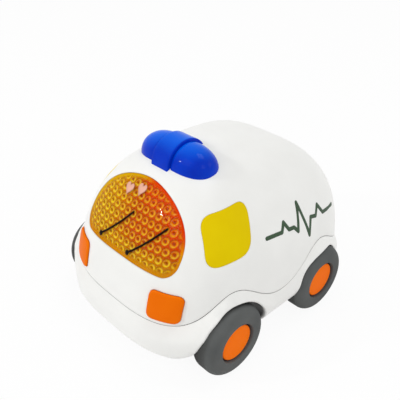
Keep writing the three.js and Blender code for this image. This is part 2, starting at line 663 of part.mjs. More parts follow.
// An involute gear outline round a centre, with one tooth's middle at the angle called phase
function gearShape(teeth, centre, phase) {
  const pitch = pitchRadius(teeth);
  const base = pitch * Math.cos(PRESSURE_ANGLE);
  const root = pitch - DEDENDUM;
  const tip = tipRadius(teeth);
  const involute = (angle) => Math.tan(angle) - angle;
  const halfTooth = Math.PI / (2 * teeth) - BACKLASH / (2 * pitch);
  const halfAngle = (radius) =>
    halfTooth + involute(PRESSURE_ANGLE) - involute(Math.acos(Math.min(1, base / radius)));
  const low = Math.max(base, root);
  const flank = [root, low, (low + tip) / 2, tip];
  const radii = root < base ? flank : flank.slice(1);
  const shape = new THREE.Shape();
  const points = [];
  for (let tooth = 0; tooth < teeth; tooth++) {
    const middle = phase + (tooth * 2 * Math.PI) / teeth;
    const flankPoint = (radius, way) => along(middle + way * halfAngle(Math.max(radius, base)), radius);
    radii.forEach((radius) => points.push(flankPoint(radius, -1)));
    [...radii].reverse().forEach((radius) => points.push(flankPoint(radius, 1)));
  }
  shape.setFromPoints(points.map((point) => point.add(centre)));
  return shape;
}

const opposite = (angle, teeth) => angle + Math.PI + Math.PI / teeth;
const boredX = (made, centre, radius) => made.subtract(rodX(radius, CASE_X0, CASE_X1, centre.x, centre.y));

function axleGear() {
  const shape = gearShape(AXLE_GEAR_TEETH, AXLE_CENTRE, STEP_ANGLE);
  return boredX(prismX(shape, AXLE_GEAR_X, AXLE_GEAR_X + GEAR_WIDTH), AXLE_CENTRE, AXLE_RADIUS + GAP);
}

function stepGear() {
  const small = gearShape(PINION_TEETH, STEP_CENTRE, opposite(STEP_ANGLE, PINION_TEETH));
  const large = gearShape(STEP_GEAR_TEETH, STEP_CENTRE, FLYWHEEL_ANGLE);
  const pinion = prismX(small, (STEP_GEAR_X0 + PINION_X0) / 2, PINION_X1);
  const made = pinion.add(prismX(large, STEP_GEAR_X0, PINION_X0));
  return boredX(made, STEP_CENTRE, SHAFT_RADIUS + GAP);
}

function flywheelPinion() {
  const shape = gearShape(PINION_TEETH, FLYWHEEL_CENTRE, opposite(FLYWHEEL_ANGLE, PINION_TEETH));
  return boredX(prismX(shape, DRIVEN_X0, DRIVEN_X1), FLYWHEEL_CENTRE, SHAFT_RADIUS + GAP);
}

function flywheel() {
  const disc = rodX(
    FLYWHEEL_RADIUS,
    FLYWHEEL_X0,
    FLYWHEEL_X1,
    FLYWHEEL_CENTRE.x,
    FLYWHEEL_CENTRE.y,
    WHEEL_SEGMENTS,
  );
  return boredX(disc, FLYWHEEL_CENTRE, SHAFT_RADIUS + GAP);
}

// The outline round the gears and the flywheel, at a distance from their tips
function caseShape(distance) {
  const circles = [
    { centre: AXLE_CENTRE, radius: tipRadius(AXLE_GEAR_TEETH) },
    { centre: STEP_CENTRE, radius: tipRadius(STEP_GEAR_TEETH) },
    { centre: FLYWHEEL_CENTRE, radius: FLYWHEEL_RADIUS },
  ];
  const points = [];
  for (const { centre, radius } of circles) {
    for (let i = 0; i < WHEEL_SEGMENTS; i++) {
      points.push(along((i / WHEEL_SEGMENTS) * 2 * Math.PI, radius + distance + CASE_END_PLAY).add(centre));
    }
  }
  return new THREE.Shape(convexHull(points));
}

function convexHull(points) {
  const sorted = [...points].sort((a, b) => a.x - b.x || a.y - b.y);
  const half = (ordered) => {
    const chain = [];
    for (const point of ordered) {
      while (chain.length > 1) {
        const [before, last] = chain.slice(-2);
        if (last.clone().sub(before).cross(point.clone().sub(last)) > HULL_TOLERANCE) break;
        chain.pop();
      }
      chain.push(point);
    }
    return chain.slice(0, -1);
  };
  return [...half(sorted), ...half(sorted.reverse())];
}

// Each case half has one ear, at the front on the left half and at the back on the right half
const FRONT_EAR_Y = FLYWHEEL_CENTRE.x - FLYWHEEL_RADIUS - EAR_LENGTH;
const REAR_EAR_Y = REAR_AXLE_Y + tipRadius(AXLE_GEAR_TEETH) + CASE_END_PLAY + CASE_WALL + EAR_LENGTH;
const EAR_LEFT_X = CASE_X1 - EAR_HALF_WIDTH;
const EAR_RIGHT_X = CASE_X0 + EAR_HALF_WIDTH;
const FRONT_EAR_REACH = EAR_LENGTH + FLYWHEEL_RADIUS - EAR_OVERLAP / 2;
const MOTOR_EARS = [
  {
    name: "front",
    post: new THREE.Vector2(EAR_LEFT_X, FRONT_EAR_Y + EAR_SCREW_FROM_END),
    y0: FRONT_EAR_Y,
    y1: FRONT_EAR_Y + FRONT_EAR_REACH,
  },
  {
    name: "rear",
    post: new THREE.Vector2(EAR_RIGHT_X, REAR_EAR_Y - EAR_SCREW_FROM_END),
    y0: REAR_EAR_Y - EAR_LENGTH - EAR_OVERLAP,
    y1: REAR_EAR_Y,
  },
];

function caseHalf(x0, x1, ear) {
  const earX0 = ear.post.x - EAR_HALF_WIDTH;
  const earX1 = ear.post.x + EAR_HALF_WIDTH;
  const earTop = EAR_Z + EAR;
  let half = prismX(caseShape(CASE_WALL), x0, x1);
  half = half.add(box(earX0, earX1, ear.y0, ear.y1, EAR_Z, earTop));
  half = half.subtract(prismX(caseShape(0), CASE_INNER_X0, CASE_INNER_X1));
  const screwHole = [EAR_Z - CUT_MARGIN, earTop + CUT_MARGIN, ear.post.x, ear.post.y];
  half = half.subtract(rodZ(SCREW_RADIUS + GAP, ...screwHole));
  const bores = [
    [AXLE_CENTRE, AXLE_RADIUS],
    [STEP_CENTRE, SHAFT_RADIUS],
    [FLYWHEEL_CENTRE, SHAFT_RADIUS],
  ];
  for (const [centre, radius] of bores) {
    const span = [CASE_X0 - CUT_MARGIN, CASE_X1 + CUT_MARGIN];
    half = half.subtract(rodX(radius + RUNNING_GAP, ...span, centre.x, centre.y));
  }
  return half;
}

// A slotted screw with its head's seat at height zero and its point towards +Z
function screw(length) {
  const points = [
    [0, -SCREW_HEAD],
    [SCREW_HEAD_RADIUS, -SCREW_HEAD],
    [SCREW_HEAD_RADIUS, 0],
    [SCREW_RADIUS, 0],
    [SCREW_RADIUS, length - SCREW_RADIUS],
    [0, length],
  ];
  const profile = points.map(([radius, z]) => new THREE.Vector2(radius, z));
  const turnedScrew = solid(new THREE.LatheGeometry(profile, SMALL_SEGMENTS).rotateX(Math.PI / 2));
  const slot = box(
    -SCREW_HEAD_RADIUS - CUT_MARGIN,
    SCREW_HEAD_RADIUS + CUT_MARGIN,
    -SCREW_SLOT / 2,
    SCREW_SLOT / 2,
    -SCREW_HEAD - CUT_MARGIN,
    -SCREW_HEAD / 2,
  );
  return turnedScrew.subtract(slot);
}

// Materials
const plain = (color, roughness, metalness = 0) => () =>
  new THREE.MeshStandardMaterial({ color, roughness, metalness });
const whitePlastic = plain(0xf3f3f0, 0.35);
const orangePlastic = plain(0xf2741f, 0.4);
const yellowPlastic = plain(0xddc506, 0.4);
const bluePlastic = plain(0x124bcc, 0.25);
const amberPlastic = plain(0xd58a0c, 0.2);
const tyreRubber = plain(0x54524f, 0.8);
const steel = plain(0xb4b6b8, 0.3, 1);
const gearNylon = plain(0xe6e2d4, 0.5);
const casePlastic = plain(0x2f3236, 0.5);

// The assembly
const car = new THREE.Group();

function place(parent, name, shape, material) {
  const mesh = new THREE.Mesh(shape.isBufferGeometry ? shape : geometryOf(shape), material());
  mesh.name = name;
  parent.add(mesh);
  return mesh;
}

place(car, "upper_shell", upperShell(), whitePlastic);
place(car, "lower_shell", lowerShell(), whitePlastic);
place(car, "windscreen", windscreen(), amberPlastic);
place(car, "roof_light_bar", lightBar(), bluePlastic);
for (const [side, name] of [[1, "left"], [-1, "right"]]) {
  place(car, "headlamp_" + name, lamp(side), orangePlastic);
  place(car, "side_window_" + name, sideWindow(side), yellowPlastic);
}

for (const { name, side, y } of WHEELS) {
  const wheel = new THREE.Group();
  wheel.position.set(0, y, AXLE_Z);
  wheel.rotation.z = side > 0 ? 0 : Math.PI;
  place(wheel, "tyre_" + name, tyreGeometry(), tyreRubber);
  place(wheel, "wheel_core_" + name, coreGeometry(), orangePlastic);
  car.add(wheel);
}
place(car, "front_axle", rodX(AXLE_RADIUS, -AXLE_END_X, AXLE_END_X, FRONT_AXLE_Y, AXLE_Z), steel);
place(car, "rear_axle", rodX(AXLE_RADIUS, -AXLE_END_X, AXLE_END_X, REAR_AXLE_Y, AXLE_Z), steel);

const [frontEar, rearEar] = MOTOR_EARS;
place(car, "motor_case_left", caseHalf(CASE_SPLIT_X + FACE_GAP / 2, CASE_X1, frontEar), casePlastic);
place(car, "motor_case_right", caseHalf(CASE_X0, CASE_SPLIT_X - FACE_GAP / 2, rearEar), casePlastic);
place(car, "axle_gear", axleGear(), gearNylon);
place(car, "step_up_gear", stepGear(), gearNylon);
const shaftAt = (centre) => rodX(SHAFT_RADIUS, CASE_X0, CASE_X1, centre.x, centre.y);
place(car, "step_up_shaft", shaftAt(STEP_CENTRE), steel);
place(car, "flywheel", flywheel(), steel);
place(car, "flywheel_pinion", flywheelPinion(), gearNylon);
place(car, "flywheel_shaft", shaftAt(FLYWHEEL_CENTRE), steel);

for (const { name, x, y } of SHELL_SCREWS) {
  const mesh = place(car, "shell_screw_" + name, geometryOf(screw(SHELL_SCREW_LENGTH)), steel);
  mesh.position.set(x, y, POST_TOP_Z - POST_SHOULDER - GAP);
}
for (const { name, post } of MOTOR_EARS) {
  const mesh = place(car, "motor_screw_" + name, geometryOf(screw(MOTOR_SCREW_LENGTH)), steel);
  mesh.position.set(post.x, post.y, EAR_Z + EAR + GAP);
  mesh.rotation.x = Math.PI;
}

export default car;
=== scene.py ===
"""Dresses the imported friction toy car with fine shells, a dimpled lens, wheels, prints and a studio."""
import math
from functools import partial

import bmesh
import bpy
import numpy as np
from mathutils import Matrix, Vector, geometry, kdtree


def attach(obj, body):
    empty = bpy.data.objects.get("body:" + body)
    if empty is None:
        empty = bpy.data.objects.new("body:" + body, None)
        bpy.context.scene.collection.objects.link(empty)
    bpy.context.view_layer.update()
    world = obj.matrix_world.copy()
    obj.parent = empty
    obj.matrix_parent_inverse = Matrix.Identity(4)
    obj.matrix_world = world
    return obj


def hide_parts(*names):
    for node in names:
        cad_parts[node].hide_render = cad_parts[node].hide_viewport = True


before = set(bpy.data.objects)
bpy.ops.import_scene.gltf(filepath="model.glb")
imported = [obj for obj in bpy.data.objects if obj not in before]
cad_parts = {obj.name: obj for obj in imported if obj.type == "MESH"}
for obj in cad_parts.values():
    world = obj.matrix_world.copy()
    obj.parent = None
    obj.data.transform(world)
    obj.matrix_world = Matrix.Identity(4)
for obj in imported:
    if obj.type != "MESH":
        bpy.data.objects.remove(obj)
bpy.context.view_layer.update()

# The object's sizes are in millimetres, the studio's in metres
MM = 0.001
QUARTER = math.pi / 2
FULL_TURN = 2 * math.pi
SIDES = (("left", 1.0), ("right", -1.0))

# Body surface, as the solids have it
AXLE_Z = 14.8
BODY_RISE = 60.7
TOP_Z = AXLE_Z + BODY_RISE
HALF_WIDTH = 43.2
WIDEST_Y = -9.6
FRONT_REACH = 43.6
REAR_REACH = 63.4
FRONT_ROUND = 3.0
REAR_ROUND = 3.8
SHELL_WALL = 2.0
# Each profile is the power of its height and the root that its reach is taken to
SIDE_PROFILE = (2.49, 1.76)
FRONT_PROFILE = (1.75, 2.0)
REAR_PROFILE = (3.72, 1.84)

# Seam between the shells
SEAM_LOW_Z = 22.5
SEAM_GAP = 0.14
UPPER_SEAM_EDGE = 0.3
LOWER_SEAM_EDGE = 0.22
CREST_WIDTH = 14.5
# Each crest is its middle along the car and its rise
CRESTS = ((-27.2, 12.8), (23.1, 11.2))

# Lower shell
FRONT_AXLE_Y = -29.5
REAR_AXLE_Y = 22.1
FRONT_ARCH_Y = -28.6
FRONT_ARCH_RADIUS = 16.0
REAR_ARCH_RADIUS = 15.5
ARCH_EDGE = 0.5
ARCH_EDGE_RISE = 2.0
WELL_INNER_X = 31.0
WELL_LIP_SHARE = 0.1
AXLE_HOLE = 1.55
FLOOR_Z = 9.0
FLARE_SIDE = 1.5
FLARE_FRONT = 2.1
FLARE_DROP = 6.0
EDGE_ROUND_ENDS = 3.0
EDGE_ROUND_SIDES = 12.0
EDGE_BLEND = (0.51, 0.84)
LOWER_WALL = 0.8
FENDER_DROP = 2.2
SCREW_HOLES = ((12.0, -46.5), (-12.0, -46.5), (20.0, 47.5), (-20.0, 47.5))
SCREW_HOLE = 2.5
SCREW_SEAT_Z = 13.4
MOTOR_WINDOW = ((-9.9, 13.1), (7.7, 13.1), (7.7, 30.1), (-9.9, 30.1))
# Each arch is its middle along the car, its axle and its radius
ARCHES = ((FRONT_ARCH_Y, FRONT_AXLE_Y, FRONT_ARCH_RADIUS), (REAR_AXLE_Y, REAR_AXLE_Y, REAR_ARCH_RADIUS))
# Each fender is how far it stands out, its middle along the car, its length and its rise
FENDERS = ((4.3, -39.4, 6.1, 10.8), (2.5, 19.1, 10.4, 17.0))

# Meshing
SHELL_SPACING = 1.5
FLOOR_SPACING = 3.0
FLOOR_CLEAR = 1.0
CUT_SPACING = 0.7
PLATE_SPACING = 1.2
RIM_SPACING = 0.6
CLEAR_SHARE = 0.6
EDGE_SHARES = (0.0, 0.12, 0.35, 0.68, 1.0)
SEAM_STEPS = 420
SEAM_ROUNDS = 60
ARCH_STEPS = 72
ROUND_STEPS = 24
EDGE_STEPS = 6
SILL_STEPS = 40
HALVINGS = 50
MARKS_AT_ONCE = 50
FEWEST_ON_CIRCLE = 6
MERGE_GAP = 1e-7
SAME_PLACE = 0.01
SLOPE_STEP = 1e-3
FLAT_TOP = 0.02
TINY = 1e-6


def smooth(value, start, stop):
    """Eases from 0 at the start to 1 at the stop."""
    value = np.clip((value - start) / (stop - start), 0, 1)
    return value * value * (3 - 2 * value)


def bell(value, width):
    """1 at 0, and close to 0 some widths away."""
    return np.exp(-((value / width) ** 2))


# Body

def reach_share(profile, z, offset=0.0):
    """How much of its full reach a profile keeps at height z."""
    power, root = profile
    height = np.clip((z - AXLE_Z) / (BODY_RISE + offset), 0, 1)
    return (1 - height**power) ** (1 / root)


def end_reach(rear, z, offset=0.0):
    """How far the body reaches from its widest line to its rear or front end at height z."""
    rear_reach = (REAR_REACH + offset) * reach_share(REAR_PROFILE, z, offset)
    front_reach = (FRONT_REACH + offset) * reach_share(FRONT_PROFILE, z, offset)
    return np.where(rear, rear_reach, front_reach)


def plan_radius(theta):
    """How round the body's plan is in direction theta, and its radius there if it reached 1 each way."""
    roundness = np.where(np.sin(theta) > 0, REAR_ROUND, FRONT_ROUND)
    total = np.abs(np.cos(theta)) ** roundness + np.abs(np.sin(theta)) ** roundness
    return roundness, total ** (-1 / roundness)


def body_point(theta, z, offset=0.0):
    """The body's surface in plan direction theta at height z, moved outwards by offset."""
    _, radius = plan_radius(theta)
    x = radius * np.cos(theta) * (HALF_WIDTH + offset) * reach_share(SIDE_PROFILE, z, offset)
    y = WIDEST_Y + radius * np.sin(theta) * end_reach(np.sin(theta) > 0, z, offset)
    return np.stack([x, y, np.broadcast_to(z, x.shape)], -1)


def level(points):
    """1 on the body's surface, less inside and more outside."""
    x, y, z = points[..., 0], points[..., 1], points[..., 2]
    rear = y > WIDEST_Y
    roundness = np.where(rear, REAR_ROUND, FRONT_ROUND)
    across = np.abs(x) / np.maximum(HALF_WIDTH * reach_share(SIDE_PROFILE, z), TINY)
    along = np.abs(y - WIDEST_Y) / np.maximum(end_reach(rear, z), TINY)
    return across**roundness + along**roundness


def outward(points):
    """Unit normals of the body's surface at points on it."""
    slope = [level(points + SLOPE_STEP * axis) - level(points - SLOPE_STEP * axis) for axis in np.eye(3)]
    normal = np.stack(slope, -1)
    normal[points[..., 2] > TOP_Z - FLAT_TOP] = (0, 0, 1)
    return normal / np.linalg.norm(normal, axis=-1, keepdims=True)


def front_theta(x, z):
    """Plan direction of the point of the front at x and z."""
    across = np.clip(x / (HALF_WIDTH * reach_share(SIDE_PROFILE, z)), -1, 1)
    return np.arctan2(-((1 - np.abs(across) ** FRONT_ROUND) ** (1 / FRONT_ROUND)), across)


def side_theta(y, z, side):
    """Plan direction of the point of one side at y and z."""
    rear = y > WIDEST_Y
    roundness = np.where(rear, REAR_ROUND, FRONT_ROUND)
    along = np.clip((y - WIDEST_Y) / end_reach(rear, z), -1, 1)
    return np.arctan2(along, side * (1 - np.abs(along) ** roundness) ** (1 / roundness))


def on_front(flat):
    """The body's front at flat points of x and z."""
    return body_point(front_theta(flat[:, 0], flat[:, 1]), flat[:, 1])


def on_side(flat, side):
    """One side of the body at flat points of y and z."""
    return body_point(side_theta(flat[:, 0], flat[:, 1], side), flat[:, 1])


def seam_z(y):
    """Height of the seam between the shells at y."""
    return SEAM_LOW_Z + sum(rise * bell(y - middle, CREST_WIDTH) for middle, rise in CRESTS)


def seam_line(lift):
    """Plan directions and heights of a line round the car that runs some way above the seam."""
    theta = np.linspace(-math.pi, math.pi, SEAM_STEPS, endpoint=False)
    z = np.full_like(theta, SEAM_LOW_Z)
    for _ in range(SEAM_ROUNDS):
        z = seam_z(body_point(theta, z)[:, 1]) + lift
    return theta, z


# Flat lines and points

def polar(radius, theta):
    """Flat points from radii and angles."""
    return np.stack([radius * np.cos(theta), radius * np.sin(theta)], -1)


def circle(count, radius, centre=(0.0, 0.0)):
    """Points round a circle."""
    return np.array(centre) + polar(radius, np.linspace(0, FULL_TURN, count, endpoint=False))


def run_along(line):
    """The distance along a line to each of its points."""
    return np.concatenate([[0], np.cumsum(np.linalg.norm(np.diff(line, axis=0), axis=1))])


def resample(loop, step):
    """The same closed line with even steps."""
    line = np.vstack([loop, loop[:1]])
    run = run_along(line)
    count = int(round(run[-1] / step))
    at = np.linspace(0, run[-1], count, endpoint=False)
    return np.stack([np.interp(at, run, axis) for axis in line.T], -1)


def inside(points, loop):
    """Whether each point lies within a closed loop."""
    found = np.zeros(len(points), bool)
    for (x0, y0), (x1, y1) in zip(loop, np.roll(loop, -1, axis=0)):
        if y0 != y1:
            crosses = (y0 > points[:, 1]) != (y1 > points[:, 1])
            found ^= crosses & (points[:, 0] < (x1 - x0) * (points[:, 1] - y0) / (y1 - y0) + x0)
    return found


def nearest(points, marks):
    """How far each point is from the nearest of some marks."""
    found = np.full(len(points), np.inf)
    for some in np.array_split(marks, max(1, len(marks) // MARKS_AT_ONCE)):
        found = np.minimum(found, np.linalg.norm(points[:, None] - some[None], axis=-1).min(1))
    return found


def within(points, border, holes=()):
    """Whether each point lies inside a border and outside its holes."""
    found = inside(points, border)
    for hole in holes:
        found &= ~inside(points, hole)
    return found


def filling(points, border, holes, lines, distance):
    """The points within a border that stay a distance away from all points of some lines."""
    points = points[within(points, border, holes)]
    return points[nearest(points, np.concatenate(lines)) > distance]


def hex_points(low, high, spacing):
    """A lattice of points that fills a box."""
    rows = []
    for row, v in enumerate(np.arange(low[1], high[1], spacing * math.sqrt(3) / 2)):
        u = np.arange(low[0] + (row % 2) * spacing / 2, high[0], spacing)
        rows.append(np.stack([u, np.full_like(u, v)], -1))
    return np.concatenate(rows)


def disc_points(inner, outer, spacing):
    """Points on circles round the middle of a disc."""
    radii = np.arange(max(inner, spacing), outer, spacing)
    counts = [int(FULL_TURN * radius / spacing) + FEWEST_ON_CIRCLE for radius in radii]
    return np.concatenate([circle(count, radius) for count, radius in zip(counts, radii)])


def triangulate(border, holes=(), lines=(), loose=()):
    """Triangles inside a border and outside its holes: points, faces, and which given point each point is."""
    loops = [border, *holes, *lines]
    edges = []
    start = 0
    for loop in loops:
        count = len(loop)
        edges += [(start + i, start + (i + 1) % count) for i in range(count)]
        start += count
    given = [Vector(point) for part in (*loops, loose) for point in part]
    made = geometry.delaunay_2d_cdt(given, edges, [], 0, MERGE_GAP)
    points, faces = np.array([point[:] for point in made[0]]), np.array(made[2])
    source = np.array([given_as[0] if given_as else -1 for given_as in made[3]])
    faces = faces[within(points[faces].mean(1), border, holes)]
    first, second, third = np.moveaxis(points[faces], 1, 0)
    along, across = second - first, third - first
    backward = along[:, 0] * across[:, 1] < along[:, 1] * across[:, 0]
    faces[backward] = faces[backward][:, ::-1]
    return points, faces, source


def edge_sink(distance, radius):
    """How deep a rounded edge lies at a distance from its rim."""
    left = np.clip(radius - distance, 0, radius)
    return radius - np.sqrt(radius**2 - left**2)


def depth_by_line(source, lines, depths):
    """A depth for each triangulated point, from the line that it comes from."""
    found = np.zeros(len(source))
    start = 0
    for line, depth in zip(lines, depths):
        found[(source >= start) & (source < start + len(line))] = depth
        start += len(line)
    return found


def laid_on(place, flat, faces, lift):
    """Points that stand above the body by a lift, and the faces, turned away from the body."""
    base = place(flat)
    normal = outward(base)
    points = base + normal * np.reshape(lift, (-1, 1))
    first, second, third = np.moveaxis(points[faces], 1, 0)
    facing = np.cross(second - first, third - first) * normal[faces[:, 0]]
    return points, faces[:, ::-1] if facing.sum() < 0 else faces


def grid_faces(rows, columns):
    """Faces of four corners over points that lie in rows."""
    starts = [row * columns + column for row in range(rows - 1) for column in range(columns - 1)]
    return [[i, i + 1, i + 1 + columns, i + columns] for i in starts]


# Outlines of the inserts, in x and z or in y and z

SCREEN_HALF = 26.3
SCREEN_CORNER = 5.5
SCREEN_BOTTOM = 41.2
SCREEN_SHOULDER = 47.9
SCREEN_DOME = 19.3
SCREEN_TOP = SCREEN_SHOULDER + SCREEN_DOME
LAMP_CORNERS = ((18.7, 24.9), (31.4, 25.7), (31.4, 36.6), (18.7, 36.6))
LAMP_CORNER = 2.6
WINDOW_CORNERS = ((-35.1, 45.6), (-16.4, 46.6), (-9.9, 62.3), (-29.9, 61.3))
WINDOW_CORNER = 5.0
DOME_ARC_STEPS = 160
CORNER_ARC_STEPS = 16


def screen_outline(grow):
    """The windscreen's outline: a flat foot with round corners under half an ellipse."""
    half, dome = SCREEN_HALF + grow, SCREEN_DOME + grow
    corner, bottom = SCREEN_CORNER + grow, SCREEN_BOTTOM - grow
    arc = np.linspace(0, QUARTER, ROUND_STEPS)
    right = np.stack([half - corner + corner * np.sin(arc), bottom + corner * (1 - np.cos(arc))], -1)
    over = np.linspace(0, math.pi, DOME_ARC_STEPS)
    top = np.stack([half * np.cos(over), SCREEN_SHOULDER + dome * np.sin(over)], -1)
    return np.vstack([right, top, right[::-1] * (-1, 1)])


def corner_outline(corners, radius, grow):
    """An outline with straight sides, moved outwards, and a curve at each corner."""
    corners = np.array(corners)
    ahead = np.roll(corners, -1, axis=0) - corners
    ahead /= np.linalg.norm(ahead, axis=1, keepdims=True)
    start = corners + grow * np.stack([ahead[:, 1], -ahead[:, 0]], -1)
    t = np.linspace(0, 1, CORNER_ARC_STEPS)[:, None]
    line = []
    for i in range(len(corners)):
        before, after = ahead[i - 1], ahead[i]
        apart = start[i] - start[i - 1]
        spread = before[0] * after[1] - before[1] * after[0]
        tip = start[i - 1] + before * (apart[0] * after[1] - apart[1] * after[0]) / spread
        arrive, leave = tip - before * radius, tip + after * radius
        line.append((1 - t) ** 2 * arrive + 2 * t * (1 - t) * tip + t**2 * leave)
    return np.vstack(line)


def lamp_outline(grow, side):
    """A headlamp's outline, which runs the same way round on either side."""
    return corner_outline(LAMP_CORNERS, LAMP_CORNER, grow)[:: int(side)] * (side, 1)


def window_outline(grow):
    """A side window's outline."""
    return corner_outline(WINDOW_CORNERS, WINDOW_CORNER, grow)


# Materials

CLOUD_SCALE = 60.0
CLOUD_DETAIL = 4
CLOUD_RANGE = (0.3, 0.7)
GRAIN_DETAIL = 3
GRAIN_DEPTH = 0.0002
SATIN = 0.03


def display(colour):
    """A shader's colour from display values of 0 to 255."""
    shares = [value / 255 for value in colour]
    return (*(s / 12.92 if s <= 0.04045 else ((s + 0.055) / 1.055) ** 2.4 for s in shares), 1)


def set_inputs(tree, node, values):
    """Gives a node's sockets values, or links from other nodes' sockets."""
    for socket, value in values.items():
        if isinstance(value, bpy.types.NodeSocket):
            tree.links.new(value, node.inputs[socket])
        else:
            node.inputs[socket].default_value = value


def add_node(tree, kind, values):
    """A new shader node with its sockets' values and links."""
    node = tree.nodes.new("ShaderNode" + kind)
    set_inputs(tree, node, values)
    return node


def surface(name, colours, roughness, grain, bump, cloud_scale=CLOUD_SCALE, specular=0.5, metallic=0.0,
            alpha=1.0):
    """A plastic, rubber or metal with clouded colour, uneven gloss and a fine surface grain."""
    material = bpy.data.materials.new(name)
    material.use_nodes = True
    tree = material.node_tree
    place = add_node(tree, "TexCoord", {}).outputs["Object"]
    cloud = add_node(tree, "TexNoise", {"Vector": place, "Scale": cloud_scale, "Detail": CLOUD_DETAIL})
    ramp = add_node(tree, "ValToRGB", {"Fac": cloud.outputs["Fac"]})
    for stop, position, colour in zip(ramp.color_ramp.elements, CLOUD_RANGE, colours):
        stop.position = position
        stop.color = display(colour)
    low, high = roughness
    gloss = add_node(tree, "MapRange", {"Value": cloud.outputs["Fac"], "To Min": low, "To Max": high})
    fine = add_node(tree, "TexNoise", {"Vector": place, "Scale": grain, "Detail": GRAIN_DETAIL})
    height = fine.outputs["Fac"]
    relief = add_node(tree, "Bump", {"Height": height, "Strength": bump, "Distance": GRAIN_DEPTH})
    set_inputs(tree, tree.nodes["Principled BSDF"], {
        "Base Color": ramp.outputs["Color"], "Roughness": gloss.outputs["Result"],
        "Normal": relief.outputs["Normal"], "Specular IOR Level": specular, "Metallic": metallic,
        "Alpha": alpha})
    return material


def mix_over(material, share, colour):
    """Mixes a colour over a material's own by a share."""
    tree = material.node_tree
    base = tree.nodes["Principled BSDF"].inputs["Base Color"]
    mix = add_node(tree, "MixRGB", {"Fac": share, "Color1": base.links[0].from_socket, "Color2": colour})
    tree.links.new(mix.outputs["Color"], base)


def carried_share(material, attribute):
    """The socket of a share that the mesh carries."""
    read = add_node(material.node_tree, "Attribute", {})
    read.attribute_name = attribute
    return read.outputs["Fac"]


def tint_by(material, attribute, colour):
    """Lets a share that the mesh carries tint a material."""
    mix_over(material, carried_share(material, attribute), display(colour))


WHITE = surface("white_plastic", ((239, 239, 236), (244, 244, 241)), (0.3, 0.4), 2500, 0.03, specular=0.3)
# Painted shade: the share "well" darkens the wheel wells' inner walls and the plates behind the wheels
tint_by(WHITE, "well", (62, 60, 58))
BLUE = surface("blue_plastic", ((0, 44, 180), (2, 58, 200)), (0.02, 0.04), 1500, 0.02, cloud_scale=120,
               specular=0.07)
# Painted light: the share "top" makes the bar's faces that turn up, left and back paler, as if lit from there
tint_by(BLUE, "top", (4, 102, 234))
ORANGE = surface("orange_trim", ((236, 108, 2), (243, 118, 6)), (0.36, 0.46), 2200, 0.05, specular=SATIN)
YELLOW = surface("yellow_trim", ((226, 196, 2), (232, 206, 4)), (0.36, 0.46), 2200, 0.05, specular=SATIN)
TYRE = surface("tyre_rubber", ((86, 88, 88), (102, 104, 103)), (0.5, 0.66), 1800, 0.12, specular=SATIN)
# Painted shade: the tread is darker than the tyre's outer face
tint_by(TYRE, "tread_shade", (58, 58, 57))
CORE = surface("core_plastic", ((255, 113, 4), (255, 121, 8)), (0.4, 0.5), 2000, 0.05, specular=SATIN)
STEEL = surface("steel", ((168, 170, 172), (196, 197, 199)), (0.22, 0.38), 3000, 0.06, metallic=1.0)
CASE = surface("case_plastic", ((42, 45, 48), (56, 59, 62)), (0.42, 0.56), 2200, 0.1)
GEAR = surface("gear_nylon", ((222, 217, 204), (234, 230, 220)), (0.4, 0.5), 2200, 0.06)
GREEN_PRINT = surface("green_print", ((24, 58, 26), (32, 68, 32)), (0.4, 0.5), 3000, 0.05)
DARK_PRINT = surface("dark_print", ((22, 14, 10), (32, 22, 16)), (0.3, 0.4), 3000, 0.05, specular=SATIN)
PINK_PRINT = surface("pink_print", ((226, 165, 140), (236, 176, 152)), (0.4, 0.5), 3000, 0.05)


# Pieces

SHARP_ANGLE = 40


def add_object(name, data):
    """A new object in the scene."""
    made = bpy.data.objects.new(name, data)
    bpy.context.scene.collection.objects.link(made)
    return made


def make_piece(name, points, faces, material, body, nodes, wall=0.0, sharp=SHARP_ANGLE):
    """A smooth mesh piece, thickened inwards, that rides on a body in place of some nodes."""
    mesh = bpy.data.meshes.new(name)
    mesh.from_pydata((np.asarray(points) * MM).tolist(), [], [list(map(int, face)) for face in faces])
    work = bmesh.new()
    work.from_mesh(mesh)
    bmesh.ops.remove_doubles(work, verts=work.verts, dist=TINY)
    unused = [vertex for vertex in work.verts if not vertex.link_faces]
    bmesh.ops.delete(work, geom=unused, context="VERTS")
    for edge in work.edges:
        edge.smooth = not edge.is_boundary
    work.to_mesh(mesh)
    work.free()
    mesh.materials.append(material)
    mesh.polygons.foreach_set("use_smooth", [True] * len(mesh.polygons))
    mesh.set_sharp_from_angle(angle=math.radians(sharp))
    piece = add_object(name, mesh)
    if wall:
        thick = piece.modifiers.new("wall", "SOLIDIFY")
        thick.thickness = wall * MM
        thick.offset = -1
    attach(piece, body)
    if nodes:
        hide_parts(*nodes)
    return piece


def turn_outward(piece):
    """Makes a piece's faces agree, with its lowest face facing down."""
    work = bmesh.new()
    work.from_mesh(piece.data)
    bmesh.ops.recalc_face_normals(work, faces=work.faces)
    lowest = min(work.faces, key=lambda face: face.calc_center_median().z)
    if lowest.normal.z > 0:
        bmesh.ops.reverse_faces(work, faces=work.faces)
    work.to_mesh(piece.data)
    work.free()


def add_share(piece, name, values):
    """Gives a mesh a named share from 0 to 1 at each of its points."""
    layer = piece.data.attributes.new(name, "FLOAT", "POINT")
    layer.data.foreach_set("value", np.asarray(values, np.float32))


def mesh_points(piece):
    """A mesh's points in millimetres."""
    flat = np.zeros(len(piece.data.vertices) * 3)
    piece.data.vertices.foreach_get("co", flat)
    return flat.reshape(-1, 3) / MM


